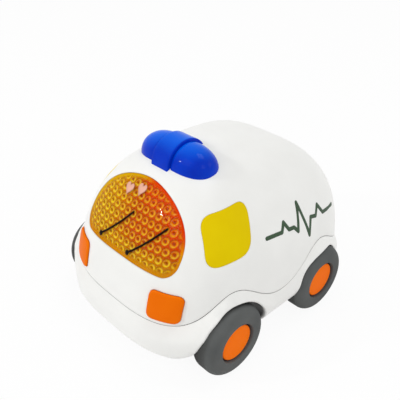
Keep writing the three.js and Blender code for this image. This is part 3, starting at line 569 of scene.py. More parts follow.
def rounded_plate(name, outline, place, material, nodes, height, edge, wall, spacing, relief=None):
    """A plate that follows the body, with a rounded rim, at a height above the surface."""
    loops = [resample(outline(-edge * part), min(spacing, RIM_SPACING)) for part in EDGE_SHARES]
    loose = hex_points(loops[0].min(0), loops[0].max(0), spacing)
    loose = filling(loose, loops[-1], [], loops, spacing * CLEAR_SHARE)
    flat, faces, source = triangulate(loops[0], lines=loops[1:], loose=loose)
    lift = height - depth_by_line(source, loops, [edge_sink(edge * part, edge) for part in EDGE_SHARES])
    if relief:
        lift = lift + relief(flat)
    points, faces = laid_on(place, flat, faces, lift)
    return make_piece(name, points, faces, material, "car_body", nodes, wall)


# Upper shell

INSERT_GAP = 0.02
SCREEN_EDGE = 0.08
PANEL_EDGE = 0.15
MERIDIAN = -math.pi / 4
MERIDIAN_STEPS = 800


def meridian():
    """Heights down one line of the body from the roof's top, and the run along the line to each."""
    heights = TOP_Z - BODY_RISE * np.linspace(0, 1, MERIDIAN_STEPS) ** 2
    line = body_point(np.full(MERIDIAN_STEPS, MERIDIAN), heights)
    radial = np.hypot(line[:, 0], line[:, 1] - WIDEST_Y)
    return heights, run_along(np.stack([radial, heights], -1))


MERIDIAN_Z, MERIDIAN_RUN = meridian()


def disc(theta, z):
    """Maps the body to a disc with the roof's top in its middle."""
    return polar(np.interp(z, MERIDIAN_Z[::-1], MERIDIAN_RUN[::-1]), theta)


def from_disc(flat):
    """The plan direction and height of points of the disc."""
    return np.arctan2(flat[:, 1], flat[:, 0]), np.interp(np.hypot(*flat.T), MERIDIAN_RUN, MERIDIAN_Z)


def cut(outline, theta_of, gap, edge):
    """Loops round an insert's hole, from its rim to the end of its rounded edge."""
    loops = []
    for part in EDGE_SHARES:
        line = resample(outline(gap + edge * part), CUT_SPACING)
        loops.append(disc(theta_of(line[:, 0], line[:, 1]), line[:, 1]))
    return loops


def upper_shell():
    seams = [disc(*seam_line(SEAM_GAP / 2 + UPPER_SEAM_EDGE * part)) for part in EDGE_SHARES]
    screen = cut(screen_outline, front_theta, INSERT_GAP, SCREEN_EDGE)
    rims = [(seams, UPPER_SEAM_EDGE), (screen, SCREEN_EDGE)]
    for _, side in SIDES:
        lamp = cut(partial(lamp_outline, side=side), front_theta, INSERT_GAP, PANEL_EDGE)
        window = cut(window_outline, partial(side_theta, side=side), INSERT_GAP, PANEL_EDGE)
        rims += [(lamp, PANEL_EDGE), (window, PANEL_EDGE)]
    border, *holes = [loops[0] for loops, _ in rims]
    lines = [loop for loops, _ in rims for loop in loops[1:]]
    loose = disc_points(0, np.linalg.norm(border, axis=1).max(), SHELL_SPACING)
    inner, *inner_holes = [loops[-1] for loops, _ in rims]
    loose = filling(loose, inner, inner_holes, [border, *holes, *lines], SHELL_SPACING * CLEAR_SHARE)
    roof_top = np.zeros((1, 2))
    flat, faces, source = triangulate(border, holes, lines, np.vstack([loose, roof_top]))
    depths = [edge_sink(0.0, edge) for _, edge in rims]
    depths += [edge_sink(edge * part, edge) for _, edge in rims for part in EDGE_SHARES[1:]]
    sink = depth_by_line(source, [border, *holes, *lines], depths)
    base = body_point(*from_disc(flat))
    points = base - outward(base) * sink[:, None]
    make_piece("upper_body", points, faces, WHITE, "car_body", ["upper_shell"], SHELL_WALL)


# Lower shell

FLOOR_DISC = 40.0
ROUND_ARC = EDGE_ROUND_SIDES * QUARTER
ARCH_FOOT_STEPS = 2
SCREW_HOLE_STEPS = 28


def lower_point(theta, z):
    """The lower shell's surface, flared below the seam and rounded under."""
    roundness, radius = plan_radius(theta)
    sine = np.sin(theta)
    lengthwise = (radius * np.abs(sine)) ** (roundness / 2)
    plain_y = body_point(theta, z)[..., 1]
    below = seam_z(plain_y) - z
    flare = FLARE_SIDE + (FLARE_FRONT - FLARE_SIDE) * np.where(sine < 0, lengthwise, 0)
    spread = flare * smooth(below, 0, FLARE_DROP)
    edge = EDGE_ROUND_SIDES + (EDGE_ROUND_ENDS - EDGE_ROUND_SIDES) * smooth(lengthwise, *EDGE_BLEND)
    under = np.clip((FLOOR_Z + edge - z) / edge, 0, 1)
    tuck = edge * (1 - np.sqrt(1 - under**2))
    point = body_point(theta, z, spread - tuck)
    stand = sum(height * bell(plain_y - middle, length) * smooth(z - FLOOR_Z, 0, rise)
                for height, middle, length, rise in FENDERS)
    point[..., 0] *= 1 + stand * smooth(below, 0, FENDER_DROP) / HALF_WIDTH
    return point


def lower_normal(theta, z):
    """Unit normals of the lower shell's surface."""
    along = lower_point(theta + SLOPE_STEP, z) - lower_point(theta - SLOPE_STEP, z)
    up = lower_point(theta, z + SLOPE_STEP) - lower_point(theta, np.maximum(z - SLOPE_STEP, FLOOR_Z))
    normal = np.cross(along, up)
    return normal / np.linalg.norm(normal, axis=-1, keepdims=True)


def shaped_lower(theta, z):
    """Points of the lower shell with its arches' and seam's edges rounded."""
    base = lower_point(theta, z)
    gaps = [np.hypot(base[:, 1] - middle, base[:, 2] - AXLE_Z) - radius for middle, _, radius in ARCHES]
    below = seam_z(body_point(theta, z)[:, 1]) - SEAM_GAP / 2 - z
    sink = edge_sink(np.maximum(np.min(gaps, axis=0), 0), ARCH_EDGE) * smooth(z - FLOOR_Z, 0, ARCH_EDGE_RISE)
    sink = sink + edge_sink(np.maximum(below, 0), LOWER_SEAM_EDGE)
    return base - lower_normal(theta, z) * sink[:, None]


def lower_theta(y, z):
    """Plan direction of the left side's point at y and z."""
    low = np.full_like(y, -QUARTER)
    high = np.full_like(y, QUARTER)
    for _ in range(HALVINGS):
        middle = (low + high) / 2
        ahead = lower_point(middle, z)[..., 1] < y
        low = np.where(ahead, middle, low)
        high = np.where(ahead, high, middle)
    return (low + high) / 2


def tub(theta, z):
    """Maps the lower shell's side to a ring round the floor."""
    low = np.clip((z - FLOOR_Z) / EDGE_ROUND_SIDES, 0, 1)
    straight = np.maximum(z - FLOOR_Z - EDGE_ROUND_SIDES, 0)
    return polar(FLOOR_DISC + EDGE_ROUND_SIDES * np.arccos(1 - low) + straight, theta)


def from_tub(flat):
    """The plan direction and height of points of the ring."""
    run = np.maximum(np.hypot(*flat.T) - FLOOR_DISC, 0)
    low = FLOOR_Z + EDGE_ROUND_SIDES * (1 - np.cos(np.minimum(run, ROUND_ARC) / EDGE_ROUND_SIDES))
    return np.arctan2(flat[:, 1], flat[:, 0]), low + np.maximum(run - ROUND_ARC, 0)


def arch_sweep(radius):
    """Angles over an arch from its front foot to its rear foot."""
    foot = math.asin((FLOOR_Z - AXLE_Z) / radius)
    return np.linspace(math.pi - foot, foot, ARCH_STEPS)


def sill_run(start, stop):
    """The hem between two plan directions, where it runs along the floor."""
    theta = np.linspace(start, stop, SILL_STEPS)[1:-1]
    return np.stack([theta, np.full_like(theta, FLOOR_Z)], -1)


def left_hem():
    """Plan directions and heights of the left side's hem, and where each arch starts along it."""
    runs, arches = [], []
    theta_from = -QUARTER
    for middle, axle, radius in ARCHES:
        y, z = polar(radius, arch_sweep(radius)).T + [[middle], [AXLE_Z]]
        z = np.maximum(z, FLOOR_Z)
        theta = lower_theta(y, z)
        runs.append(sill_run(theta_from, theta[0]))
        arches.append((sum(map(len, runs)), y, z, axle))
        runs.append(np.stack([theta, z], -1))
        theta_from = theta[-1]
    runs.append(sill_run(theta_from, QUARTER))
    return np.concatenate(runs), arches


def lower_side(hem):
    """Points and faces of the lower shell's side, from its hem up to the seam."""
    hem_flat = tub(*hem.T)
    seams = [tub(*seam_line(-(SEAM_GAP / 2 + LOWER_SEAM_EDGE * part))) for part in EDGE_SHARES]
    sweep = arch_sweep(REAR_ARCH_RADIUS)[ARCH_FOOT_STEPS:-ARCH_FOOT_STEPS]
    rounds = []
    for part in EDGE_SHARES[1:]:
        for middle, _, radius in ARCHES:
            y, z = polar(radius + ARCH_EDGE * part, sweep).T + [[middle], [AXLE_Z]]
            theta = lower_theta(y, z)
            rounds += [tub(theta, z), tub(math.pi - theta, z)]
    loose = disc_points(FLOOR_DISC, np.linalg.norm(seams[0], axis=1).max(), SHELL_SPACING)
    near = [hem_flat, *seams, *rounds]
    loose = filling(loose, seams[-1], [hem_flat], near, SHELL_SPACING * CLEAR_SHARE)
    rounds = np.concatenate(rounds)
    rounds = rounds[inside(rounds, seams[-1])]
    flat, faces, source = triangulate(seams[0], [hem_flat], seams[1:], np.concatenate([loose, rounds]))
    theta, z = from_tub(flat)
    place = source - len(seams[0])
    at_hem = (place >= 0) & (place < len(hem))
    theta[at_hem], z[at_hem] = hem[place[at_hem]].T
    return shaped_lower(theta, z), faces[:, ::-1]


def wheel_well(lip, y, z, axle, side):
    """Points and faces of a wheel well's wall, and of the plate behind the wheel with the axle's hole."""
    inner_x = side * WELL_INNER_X
    inner = np.stack([np.full_like(y, inner_x), y, z], -1)
    rows = [lip, lip + WELL_LIP_SHARE * (inner - lip), inner]
    hole = circle(ROUND_STEPS, AXLE_HOLE, (axle, AXLE_Z))
    plate, plate_faces, _ = triangulate(np.stack([y, z], -1), [hole])
    plate = np.insert(plate, 0, inner_x, axis=1)
    return (np.concatenate(rows), grid_faces(len(rows), len(lip))), (plate, plate_faces)


def lower_floor(border):
    """Points and faces of the floor inside a border, with its screw holes and the motor's window."""
    flat_border = border[:, :2]
    holes = [circle(SCREW_HOLE_STEPS, SCREW_HOLE, centre) for centre in SCREW_HOLES]
    holes.append(np.array(MOTOR_WINDOW))
    grid = hex_points(flat_border.min(0), flat_border.max(0), FLOOR_SPACING)
    grid = filling(grid, flat_border, holes, [flat_border, *holes], FLOOR_CLEAR)
    flat, faces, source = triangulate(flat_border, holes, loose=grid)
    z = np.where(source < len(border), border[source % len(border), 2], FLOOR_Z)
    return np.column_stack([flat, z]), faces[:, ::-1]


def screw_seat(centre):
    """Points and faces of the sleeve from a screw hole up to the screw's seat."""
    ring = circle(SCREW_HOLE_STEPS, SCREW_HOLE, centre)
    closed = np.vstack([ring, ring[:1]])
    rows = [np.insert(closed, 2, z, axis=1) for z in (FLOOR_Z, SCREW_SEAT_Z)]
    return np.concatenate(rows), grid_faces(len(rows), len(closed))


def joined(meshes):
    """One list of points and one of faces from several meshes."""
    points, faces = [], []
    count = 0
    for some_points, some_faces in meshes:
        points.append(some_points)
        faces += [[corner + count for corner in face] for face in some_faces]
        count += len(some_points)
    return np.concatenate(points), faces


def lower_shell():
    left, left_arches = left_hem()
    count = len(left)
    right = np.stack([math.pi - left[::-1, 0], left[::-1, 1]], -1)
    right_arches = [(count - start - ARCH_STEPS, y[::-1], z[::-1], axle)
                    for start, y, z, axle in left_arches[::-1]]
    # The hem starts in the middle of the front and goes along the left side, the rear and the right side
    front_middle, rear_middle = [[-QUARTER, FLOOR_Z]], [[QUARTER, FLOOR_Z]]
    hem = np.concatenate([front_middle, left, rear_middle, right])
    hem_points = shaped_lower(*hem.T)
    meshes = [lower_side(hem)]
    floor_border, well_shade_points = [], []
    for side, first, arches in ((1.0, 1, left_arches), (-1.0, count + 2, right_arches)):
        run = hem_points[first:first + count]
        floor_border.append(hem_points[first - 1])
        position = 0
        for start, y, z, axle in arches:
            floor_border.extend(run[position:start + 1])
            wall, plate = wheel_well(run[start:start + ARCH_STEPS], y, z, axle, side)
            meshes += [wall, plate]
            well_shade_points += [wall[0][ARCH_STEPS:], plate[0]]
            floor_border.extend([wall[0][-ARCH_STEPS], wall[0][-1]])
            position = start + ARCH_STEPS - 1
        floor_border.extend(run[position:])
    meshes.append(lower_floor(np.array(floor_border)))
    meshes += [screw_seat(centre) for centre in SCREW_HOLES]
    points, faces = joined(meshes)
    piece = make_piece("lower_body", points, faces, WHITE, "car_body", ["lower_shell"],
                       LOWER_WALL)
    turn_outward(piece)
    # Painted shade: every point of the wells' walls behind the lip and of the plates behind the wheels gets
    # the share "well"
    well_shade_points = np.concatenate(well_shade_points)
    dark = kdtree.KDTree(len(well_shade_points))
    for number, spot in enumerate(well_shade_points):
        dark.insert(spot, number)
    dark.balance()
    add_share(piece, "well", [dark.find(spot)[2] < SAME_PLACE for spot in mesh_points(piece)])


# Windscreen: a clear skin over a lens with rings in relief

SCREEN_SINK = 0.03
SKIN_WALL = 0.4
LENS_DEPTH = 0.7
LENS_INSET = 0.05
LENS_EDGE = 0.1
LENS_WALL = 0.8
LENS_SPACING = 0.27
LENS_RIM = 1.4
LENS_RIM_LIFT = 0.64
PLAIN_RIM = (1.0, 1.8)
RING_PITCH = 3.3
ROW_PITCH = 3.6
RING_RADIUS = 1.12
RING_WIDTH = 0.3
RING_HEIGHT = 0.3
PIT_DEPTH = 0.2
PIT_RADIUS = 0.55
CLIMB_STEPS = 200
RIM_STEP = 0.5

# Shares that tint the lens, and the stretches of x or z over which they come in
# Painted highlight: a bright glint on the lit side of each ring, its turn, width, least share and how much it
# dims in the red
GLINT_TURN = -0.7
GLINT_WIDTH = 0.23
GLINT_LEAST = 0.3
GLINT_IN_RED = 0.5
# Painted shade: dark in the middle of each ring and just outside its far side
SHADE_RADIUS = 1.5
SHADE_WIDTH = 0.3
SHADE_MOST = 0.6
PIT_SHADE_MOST = 0.85
RIM_MOST = 0.6
WARM_MOST = 0.65
WARM_X = (-16, 6)
WARM_Z = (42, 51)
RED_BAND = 4.5
RED_BAND_X = (-4, 4)
RED_BAND_Z = (48, 56)
WARM_COLOURS = ((214, 150, 0), (204, 58, 0), (230, 16, 0))
WARM_SHARE = 0.75


def ring_offset(flat):
    """Where each point of the lens lies from the middle of its nearest ring, across and up."""
    heights = np.linspace(SCREEN_BOTTOM, SCREEN_TOP, CLIMB_STEPS)
    climb = run_along(on_front(np.stack([np.zeros_like(heights), heights], -1)))
    run = np.interp(flat[:, 1], heights, climb)
    row = np.round(run / ROW_PITCH - 0.5)
    best = np.full((len(flat), 2), np.inf)
    for step in (-1, 0, 1):
        middle_run = (row + step + 0.5) * ROW_PITCH
        shift = np.where((row + step) % 2 == 0, 0.0, RING_PITCH / 2)
        middle_x = np.round((flat[:, 0] - shift) / RING_PITCH) * RING_PITCH + shift
        offset = np.stack([flat[:, 0] - middle_x, run - middle_run], -1)
        nearer = np.hypot(*offset.T) < np.hypot(*best.T)
        best[nearer] = offset[nearer]
    return best


def rim_distance(flat):
    """How far each point of the lens is from its rim."""
    return nearest(flat, resample(screen_outline(0), RIM_STEP))


def lens_relief(flat):
    """The height of the lens's rings, pits and rim."""
    away = np.hypot(*ring_offset(flat).T)
    from_rim = rim_distance(flat)
    ridge = RING_HEIGHT * bell(away - RING_RADIUS, RING_WIDTH)
    pit = PIT_DEPTH * bell(away, PIT_RADIUS)
    rim = LENS_RIM_LIFT * (1 - smooth(from_rim, 0, LENS_RIM))
    return (ridge - pit) * smooth(from_rim, *PLAIN_RIM) + rim


def lens_shares(flat):
    """How much of each tint the lens has: a painted highlight on each ring's lit side, painted shade in the
    dark pits and outside each ring's far side, a yellow rim, and redder to the left.
    """
    x, z = flat.T
    offset = ring_offset(flat)
    away = np.hypot(*offset.T)
    from_rim = rim_distance(flat)
    ringed = smooth(from_rim, *PLAIN_RIM)
    lifted = smooth(z, *WARM_Z)
    band = bell(from_rim, RED_BAND) * smooth(x, *RED_BAND_X) * smooth(z, *RED_BAND_Z)
    warmth = np.clip(WARM_MOST * smooth(x, *WARM_X) * lifted + band, 0, 1)
    # Painted highlight: each ring is brightest on its lit side; painted shade darkens the pits and just
    # outside each ring's far side
    facing = 0.5 + 0.5 * np.cos(np.arctan2(offset[:, 1], offset[:, 0]) - GLINT_TURN)
    glow = bell(away - RING_RADIUS, GLINT_WIDTH) * (GLINT_LEAST + (1 - GLINT_LEAST) * facing)
    shade = SHADE_MOST * bell(away - SHADE_RADIUS, SHADE_WIDTH) * (1 - facing)
    return {"ring": glow * ringed * (1 - GLINT_IN_RED * warmth),
            "pit": (PIT_SHADE_MOST * bell(away, PIT_RADIUS) + shade) * ringed,
            "rim": RIM_MOST * (1 - ringed) * (1 - band) * lifted,
            "warmth": warmth}


def lens_material():
    """Amber plastic that takes its tints from the shares that the lens carries."""
    material = surface("amber_plastic", ((158, 70, 0), (206, 86, 0)), (0.14, 0.22), 900, 0.05,
                       cloud_scale=110, specular=0.01)
    ramp = add_node(material.node_tree, "ValToRGB", {"Fac": carried_share(material, "warmth")})
    stops = ramp.color_ramp.elements
    stops.new(0.5)
    for stop, colour in zip(stops, WARM_COLOURS):
        stop.color = display(colour)
    mix_over(material, WARM_SHARE, ramp.outputs["Color"])
    tint_by(material, "rim", (222, 190, 4))
    # Painted shade in the middle of each ring and just outside its far side
    tint_by(material, "pit", (96, 16, 0))
    # Painted highlight on the lit side of each ring
    tint_by(material, "ring", (255, 244, 48))
    return material


def windscreen():
    clear = surface("clear_amber", ((228, 140, 10), (236, 150, 16)), (0.015, 0.03), 600, 0.01,
                    specular=0.8, alpha=0.06)
    rounded_plate("windscreen_skin", screen_outline, on_front, clear, ["windscreen"],
                  height=-SCREEN_SINK, edge=SCREEN_EDGE, wall=SKIN_WALL, spacing=PLATE_SPACING)
    lens = rounded_plate("windscreen_lens", lambda grow: screen_outline(grow - LENS_INSET), on_front,
                         lens_material(), [], height=-SCREEN_SINK - LENS_DEPTH, edge=LENS_EDGE,
                         wall=LENS_WALL, spacing=LENS_SPACING, relief=lens_relief)
    for name, values in lens_shares(mesh_points(lens)[:, [0, 2]]).items():
        add_share(lens, name, values)


# Roof light bar: two domes with a band between them

BAR_Y = -16.6
BAR_Z = 69.6
BAR_HALF = 18.0
BAR_WALL = 1.2
BAND_RADIUS = 10.1
BAND_HALF = 4.6
BAND_EDGE = 0.5
DOME_RADIUS = 9.0
DOME_ROUND = 2.3
DOME_START = 0.4
DOME_TIP_GAP = 0.001
GROOVE_DEPTH = 0.3
GROOVE_SIDES = (0.02, 0.3)
BAR_SWEEP = 2.4
BAR_SWEEP_STEPS = 481
BAR_COLUMNS = 56
BAR_FOOT_TURN = 0.06
BAND_STEPS = 5
DOME_STEPS = 26
BAR_SHARP_ANGLE = 50
# Painted light on the bar: the way its paler faces turn, and the range over which they pale
BAR_PAINTED_LIGHT_WAY = (-0.45, 0.25, 0.857)
BAR_PAINTED_LIGHT_RANGE = (0.2, 1.0)


def dome_radius(x):
    """The radius of the bar's domes at x."""
    away = np.clip((np.abs(x) - BAND_HALF) / (BAR_HALF - BAND_HALF), 0, 1)
    return float(DOME_RADIUS * (1 - away**DOME_ROUND) ** (1 / DOME_ROUND))


def bar_point(x, radius, turn):
    """Points of a circle round the bar's axis."""
    return np.stack([np.full_like(turn, x), BAR_Y + radius * np.sin(turn), BAR_Z + radius * np.cos(turn)], -1)


def bar_levels(x, radius):
    """Angles round the bar at x, and the body's level at each."""
    turn = np.linspace(-BAR_SWEEP, BAR_SWEEP, BAR_SWEEP_STEPS)
    return turn, level(bar_point(x, radius, turn))


def dome_tip():
    """Where along x a dome ends or sinks into the roof."""
    low, high = BAND_HALF, BAR_HALF - DOME_TIP_GAP
    for _ in range(HALVINGS):
        middle = (low + high) / 2
        if bar_levels(middle, dome_radius(middle))[1].max() > 1:
            low = middle
        else:
            high = middle
    return low


def bar_stations():
    """Places along x, from end to end, with the bar's radius at each."""
    flat_half = BAND_HALF - BAND_EDGE
    flat_radius = BAND_RADIUS - BAND_EDGE
    arc = np.linspace(0, QUARTER, EDGE_STEPS)
    half = [(x, BAND_RADIUS) for x in np.linspace(0, flat_half, BAND_STEPS)[:-1]]
    half += [(flat_half + BAND_EDGE * math.sin(a), flat_radius + BAND_EDGE * math.cos(a)) for a in arc]
    half += [(BAND_HALF + gap, DOME_RADIUS - GROOVE_DEPTH) for gap in GROOVE_SIDES]
    dome = BAND_HALF + (dome_tip() - BAND_HALF) * np.sin(np.linspace(0, QUARTER, DOME_STEPS))
    half += [(x, dome_radius(x)) for x in dome if x > BAND_HALF + DOME_START]
    return [(-x, radius) for x, radius in half[:0:-1]] + half


def light_bar():
    rows = []
    for x, radius in bar_stations():
        turn, over = bar_levels(x, radius)
        proud = turn[over > 1] if over.max() > 1 else turn[[np.argmax(over)]]
        spread = np.linspace(proud.min() - BAR_FOOT_TURN, proud.max() + BAR_FOOT_TURN, BAR_COLUMNS)
        rows.append(bar_point(x, radius, spread))
    faces = [face[::-1] for face in grid_faces(len(rows), BAR_COLUMNS)]
    piece = make_piece("light_bar", np.concatenate(rows), faces, BLUE, "car_body", ["roof_light_bar"],
                       BAR_WALL, BAR_SHARP_ANGLE)
    # Painted light: the faces that turn up, left and back get a paler blue
    facing = [vertex.normal.dot(Vector(BAR_PAINTED_LIGHT_WAY)) for vertex in piece.data.vertices]
    add_share(piece, "top", smooth(np.array(facing), *BAR_PAINTED_LIGHT_RANGE))


# Headlamps and side windows

LAMP_STAND = 0.9
LAMP_EDGE = 0.8
LAMP_WALL = 1.6
LAMP_SPACING = 1.0
WINDOW_STAND = 0.03
WINDOW_EDGE = 0.2
WINDOW_WALL = 1.5


def panels():
    for word, side in SIDES:
        rounded_plate(f"lamp.{word}", partial(lamp_outline, side=side), on_front, ORANGE,
                      [f"headlamp_{word}"], height=LAMP_STAND, edge=LAMP_EDGE,
                      wall=LAMP_WALL, spacing=LAMP_SPACING)
        rounded_plate(f"window.{word}", window_outline, partial(on_side, side=side), YELLOW,
                      [f"side_window_{word}"], height=WINDOW_STAND, edge=WINDOW_EDGE,
                      wall=WINDOW_WALL, spacing=PLATE_SPACING)


# Wheels

WHEEL_FACE_X = 45.5
WHEEL_STEPS = 96
WHEEL_SHARP_ANGLE = 35
TYRE_RADIUS = 14.8
TYRE_WIDTH = 11.0
TYRE_BACK_X = WHEEL_FACE_X - TYRE_WIDTH
TYRE_SHOULDER = 3.6
TYRE_BORE_EDGE = 0.6
TYRE_BACK_EDGE = 0.4
# Painted shade on the tread: how far behind the face it starts and ends
TREAD_SHADE_RANGE = (0.5 * TYRE_SHOULDER, 1.5 * TYRE_SHOULDER)
SHOULDER_STEPS = 12
CORE_RADIUS = 7.5
CORE_GAP = 0.65
CORE_FACE_X = 44.6
CORE_FACE_RINGS = (0.0, 2.5, 5.0)
CORE_EDGE = 0.5
CORE_HOLLOW_RADIUS = 6.05
CORE_WEB_X = 42.8
CORE_HUB_RADIUS = 3.4
CORE_HUB_BACK_X = 31.9
CORE_BORE = 1.55
CORE_BORE_END_X = 42.5


def arc_points(middle_radius, middle_x, radius, start, stop, count):
    """Radii and distances along the axle of an arc in a turned piece's profile."""
    return list(polar(radius, np.linspace(start, stop, count)) + (middle_radius, middle_x))


def turned(name, profile, y, side, closed, material, body, node):
    """A turned piece from radii and distances along the axle."""
    radius, x = np.array(profile).T
    count = len(profile)
    points = [np.stack([side * x, y + radius * math.cos(angle), AXLE_Z + radius * math.sin(angle)], -1)
              for angle in np.linspace(0, FULL_TURN, WHEEL_STEPS + 1)]
    if closed:
        points = [np.vstack([row, row[:1]]) for row in points]
    faces = grid_faces(WHEEL_STEPS + 1, count + closed)
    piece = make_piece(name, np.concatenate(points), faces, material, body, [node],
                       sharp=WHEEL_SHARP_ANGLE)
    turn_outward(piece)
    return piece


def tyre_profile():
    seat = TYRE_RADIUS - TYRE_SHOULDER
    bore = CORE_RADIUS + CORE_GAP
    profile = arc_points(seat, TYRE_BACK_X + TYRE_SHOULDER, TYRE_SHOULDER, -QUARTER, 0, SHOULDER_STEPS)
    profile += arc_points(seat, WHEEL_FACE_X - TYRE_SHOULDER, TYRE_SHOULDER, 0, QUARTER, SHOULDER_STEPS)
    profile += arc_points(bore + TYRE_BORE_EDGE, WHEEL_FACE_X - TYRE_BORE_EDGE, TYRE_BORE_EDGE,
                          QUARTER, math.pi, EDGE_STEPS)
    return profile + [(bore, TYRE_BACK_X + TYRE_BACK_EDGE), (bore + TYRE_BACK_EDGE, TYRE_BACK_X)]


def core_profile():
    profile = [(radius, CORE_FACE_X) for radius in CORE_FACE_RINGS]
    profile += arc_points(CORE_RADIUS - CORE_EDGE, CORE_FACE_X - CORE_EDGE, CORE_EDGE, QUARTER, 0, EDGE_STEPS)
    profile += [(CORE_RADIUS, TYRE_BACK_X), (CORE_HOLLOW_RADIUS, TYRE_BACK_X)]
    profile += [(CORE_HOLLOW_RADIUS, CORE_WEB_X), (CORE_HUB_RADIUS, CORE_WEB_X)]
    profile += [(CORE_HUB_RADIUS, CORE_HUB_BACK_X), (CORE_BORE, CORE_HUB_BACK_X)]
    return profile + [(CORE_BORE, CORE_BORE_END_X), (0.0, CORE_BORE_END_X)]


def wheels():
    for end, axle_y in (("front", FRONT_AXLE_Y), ("rear", REAR_AXLE_Y)):
        for word, side in SIDES:
            where = f"{end}_{word}"
            tyre = turned(f"tyre.{where}", tyre_profile(), axle_y, side, True, TYRE, f"{end}_wheel_set",
                          f"tyre_{where}")
            # Painted shade: darker the further a point lies behind the wheel's outer face
            behind_face = WHEEL_FACE_X - np.abs(mesh_points(tyre)[:, 0])
            add_share(tyre, "tread_shade", smooth(behind_face, *TREAD_SHADE_RANGE))
            turned(f"core.{where}", core_profile(), axle_y, side, False, CORE, f"{end}_wheel_set",
                   f"wheel_core_{where}")


# Prints

PRINT_SPACING = 0.9
PRINT_CLEAR = 0.4
PRINT_WALL = 0.03
PRINT_STAND = 0.04
HIGH_PRINT_STAND = 0.06
FAN_TURN = 0.3
PULSE = ((-7.5, 47.6), (1, 46.5), (3, 49.5), (5, 46.0), (8, 45.6), (10, 43.2), (13, 53.0), (16.5, 38.8),
         (19, 45.2), (22.5, 44.2), (25, 47.6), (28, 43.2), (37.5, 41.9))
PULSE_WIDTH = 1.5
WIPER_FEET = (-13.0, 4.0)
WIPER_FOOT_Z = 43.6
WIPER_BEND = (7.3, 5.6)
WIPER_TIP = (13.4, 13.0)
WIPER_WIDTH = 0.8
WIPER_PIVOT = 1.0
HEART_SPOTS = ((-7.0, 62.0), (-1.0, 63.4))
HEART_SCALE = 0.13
HEART_BREADTH = 16
HEART_WAVES = (13, -5, -2, -1)
HEART_STEPS = 60


def stroke(points, width):
    """The outline of a line of some width, round at its outer corners and ends."""
    points = np.array(points)
    ahead = np.diff(points, axis=0)
    ahead /= np.linalg.norm(ahead, axis=1, keepdims=True)
    half = width / 2

    def fan(centre, start, sweep):
        turns = start + sweep * np.linspace(0, 1, max(int(abs(sweep) / FAN_TURN), 2))
        return list(centre + polar(half, turns))

    def one_side(line, ways):
        found = []
        for i in range(1, len(line) - 1):
            before, after = ways[i - 1], ways[i]
            bend = math.atan2(before[0] * after[1] - before[1] * after[0], before @ after)
            left = math.atan2(before[1], before[0]) + QUARTER
            if bend > 0:
                found.append(line[i] + polar(half / math.cos(bend / 2), left + bend / 2))
            else:
                found += fan(line[i], left, bend)
        return found

    def cap(tip, way):
        return fan(tip, math.atan2(way[1], way[0]) + QUARTER, -math.pi)

    outline = one_side(points, ahead) + cap(points[-1], ahead[-1])
    outline += one_side(points[::-1], -ahead[::-1]) + cap(points[0], -ahead[0])
    return np.array(outline)


def print_patch(name, outline, place, material, height):
    """A thin printed shape that lies on the body."""
    loose = hex_points(outline.min(0), outline.max(0), PRINT_SPACING)
    loose = filling(loose, outline, [], [outline], PRINT_CLEAR)
    flat, faces, _ = triangulate(outline, loose=loose)
    points, faces = laid_on(place, flat, faces, height)
    make_piece(name, points, faces, material, "car_body", [], PRINT_WALL)


def prints():
    for word, side in SIDES:
        print_patch(f"pulse_line.{word}", stroke(PULSE, PULSE_WIDTH), partial(on_side, side=side),
                    GREEN_PRINT, HIGH_PRINT_STAND)
    t = np.linspace(0, 1, ROUND_STEPS)[:, None]
    sweep = 2 * t * (1 - t) * np.array(WIPER_BEND) + t**2 * np.array(WIPER_TIP)
    for number, foot_x in enumerate(WIPER_FEET, 1):
        foot = (foot_x, WIPER_FOOT_Z)
        print_patch(f"wiper_arm.{number}", stroke(sweep + foot, WIPER_WIDTH), on_front, DARK_PRINT,
                    PRINT_STAND)
        print_patch(f"wiper_pivot.{number}", circle(ROUND_STEPS, WIPER_PIVOT, foot), on_front, DARK_PRINT,
                    HIGH_PRINT_STAND)
    turn = np.linspace(0, FULL_TURN, HEART_STEPS, endpoint=False)
    height = sum(size * np.cos(wave * turn) for wave, size in enumerate(HEART_WAVES, 1))
    heart = HEART_SCALE * np.stack([HEART_BREADTH * np.sin(turn) ** 3, height], -1)
    for number, spot in enumerate(HEART_SPOTS, 1):
        print_patch(f"heart.{number}", heart + spot, on_front, PINK_PRINT, PRINT_STAND)


# Pieces that keep their CAD shape

STEEL_WORDS = ("screw", "axle", "shaft", "flywheel")
BEVEL_WIDTH = 0.15
BEVEL_SEGMENTS = 2


def dress(piece, material):
    """Gives a CAD piece a material and soft edges."""
    piece.data.materials.clear()
    piece.data.materials.append(material)
    soften = piece.modifiers.new("edges", "BEVEL")
    soften.width = BEVEL_WIDTH * MM
    soften.segments = BEVEL_SEGMENTS
    soften.limit_method = "ANGLE"
    soften.angle_limit = math.radians(SHARP_ANGLE)


def dress_insides():
    for node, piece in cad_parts.items():
        if "gear" in node or "pinion" in node:
            dress(piece, GEAR)
        elif "case" in node:
            dress(piece, CASE)
        elif any(word in node for word in STEEL_WORDS):
            dress(piece, STEEL)


# Studio, in metres and watts

PURE_WHITE = (1, 1, 1, 1)
WORLD_LIGHT = 0.62
WORLD_SEEN = 1.0
FLOOR_REACH = 3.0
PAPER_SHADE = (0.92, 0.92, 0.92, 1)
PAPER_ROUGHNESS = 0.9
PAPER_GLOW_SHARE = 0.93
LAMP_AIM = Vector((0, 0, 0.04))
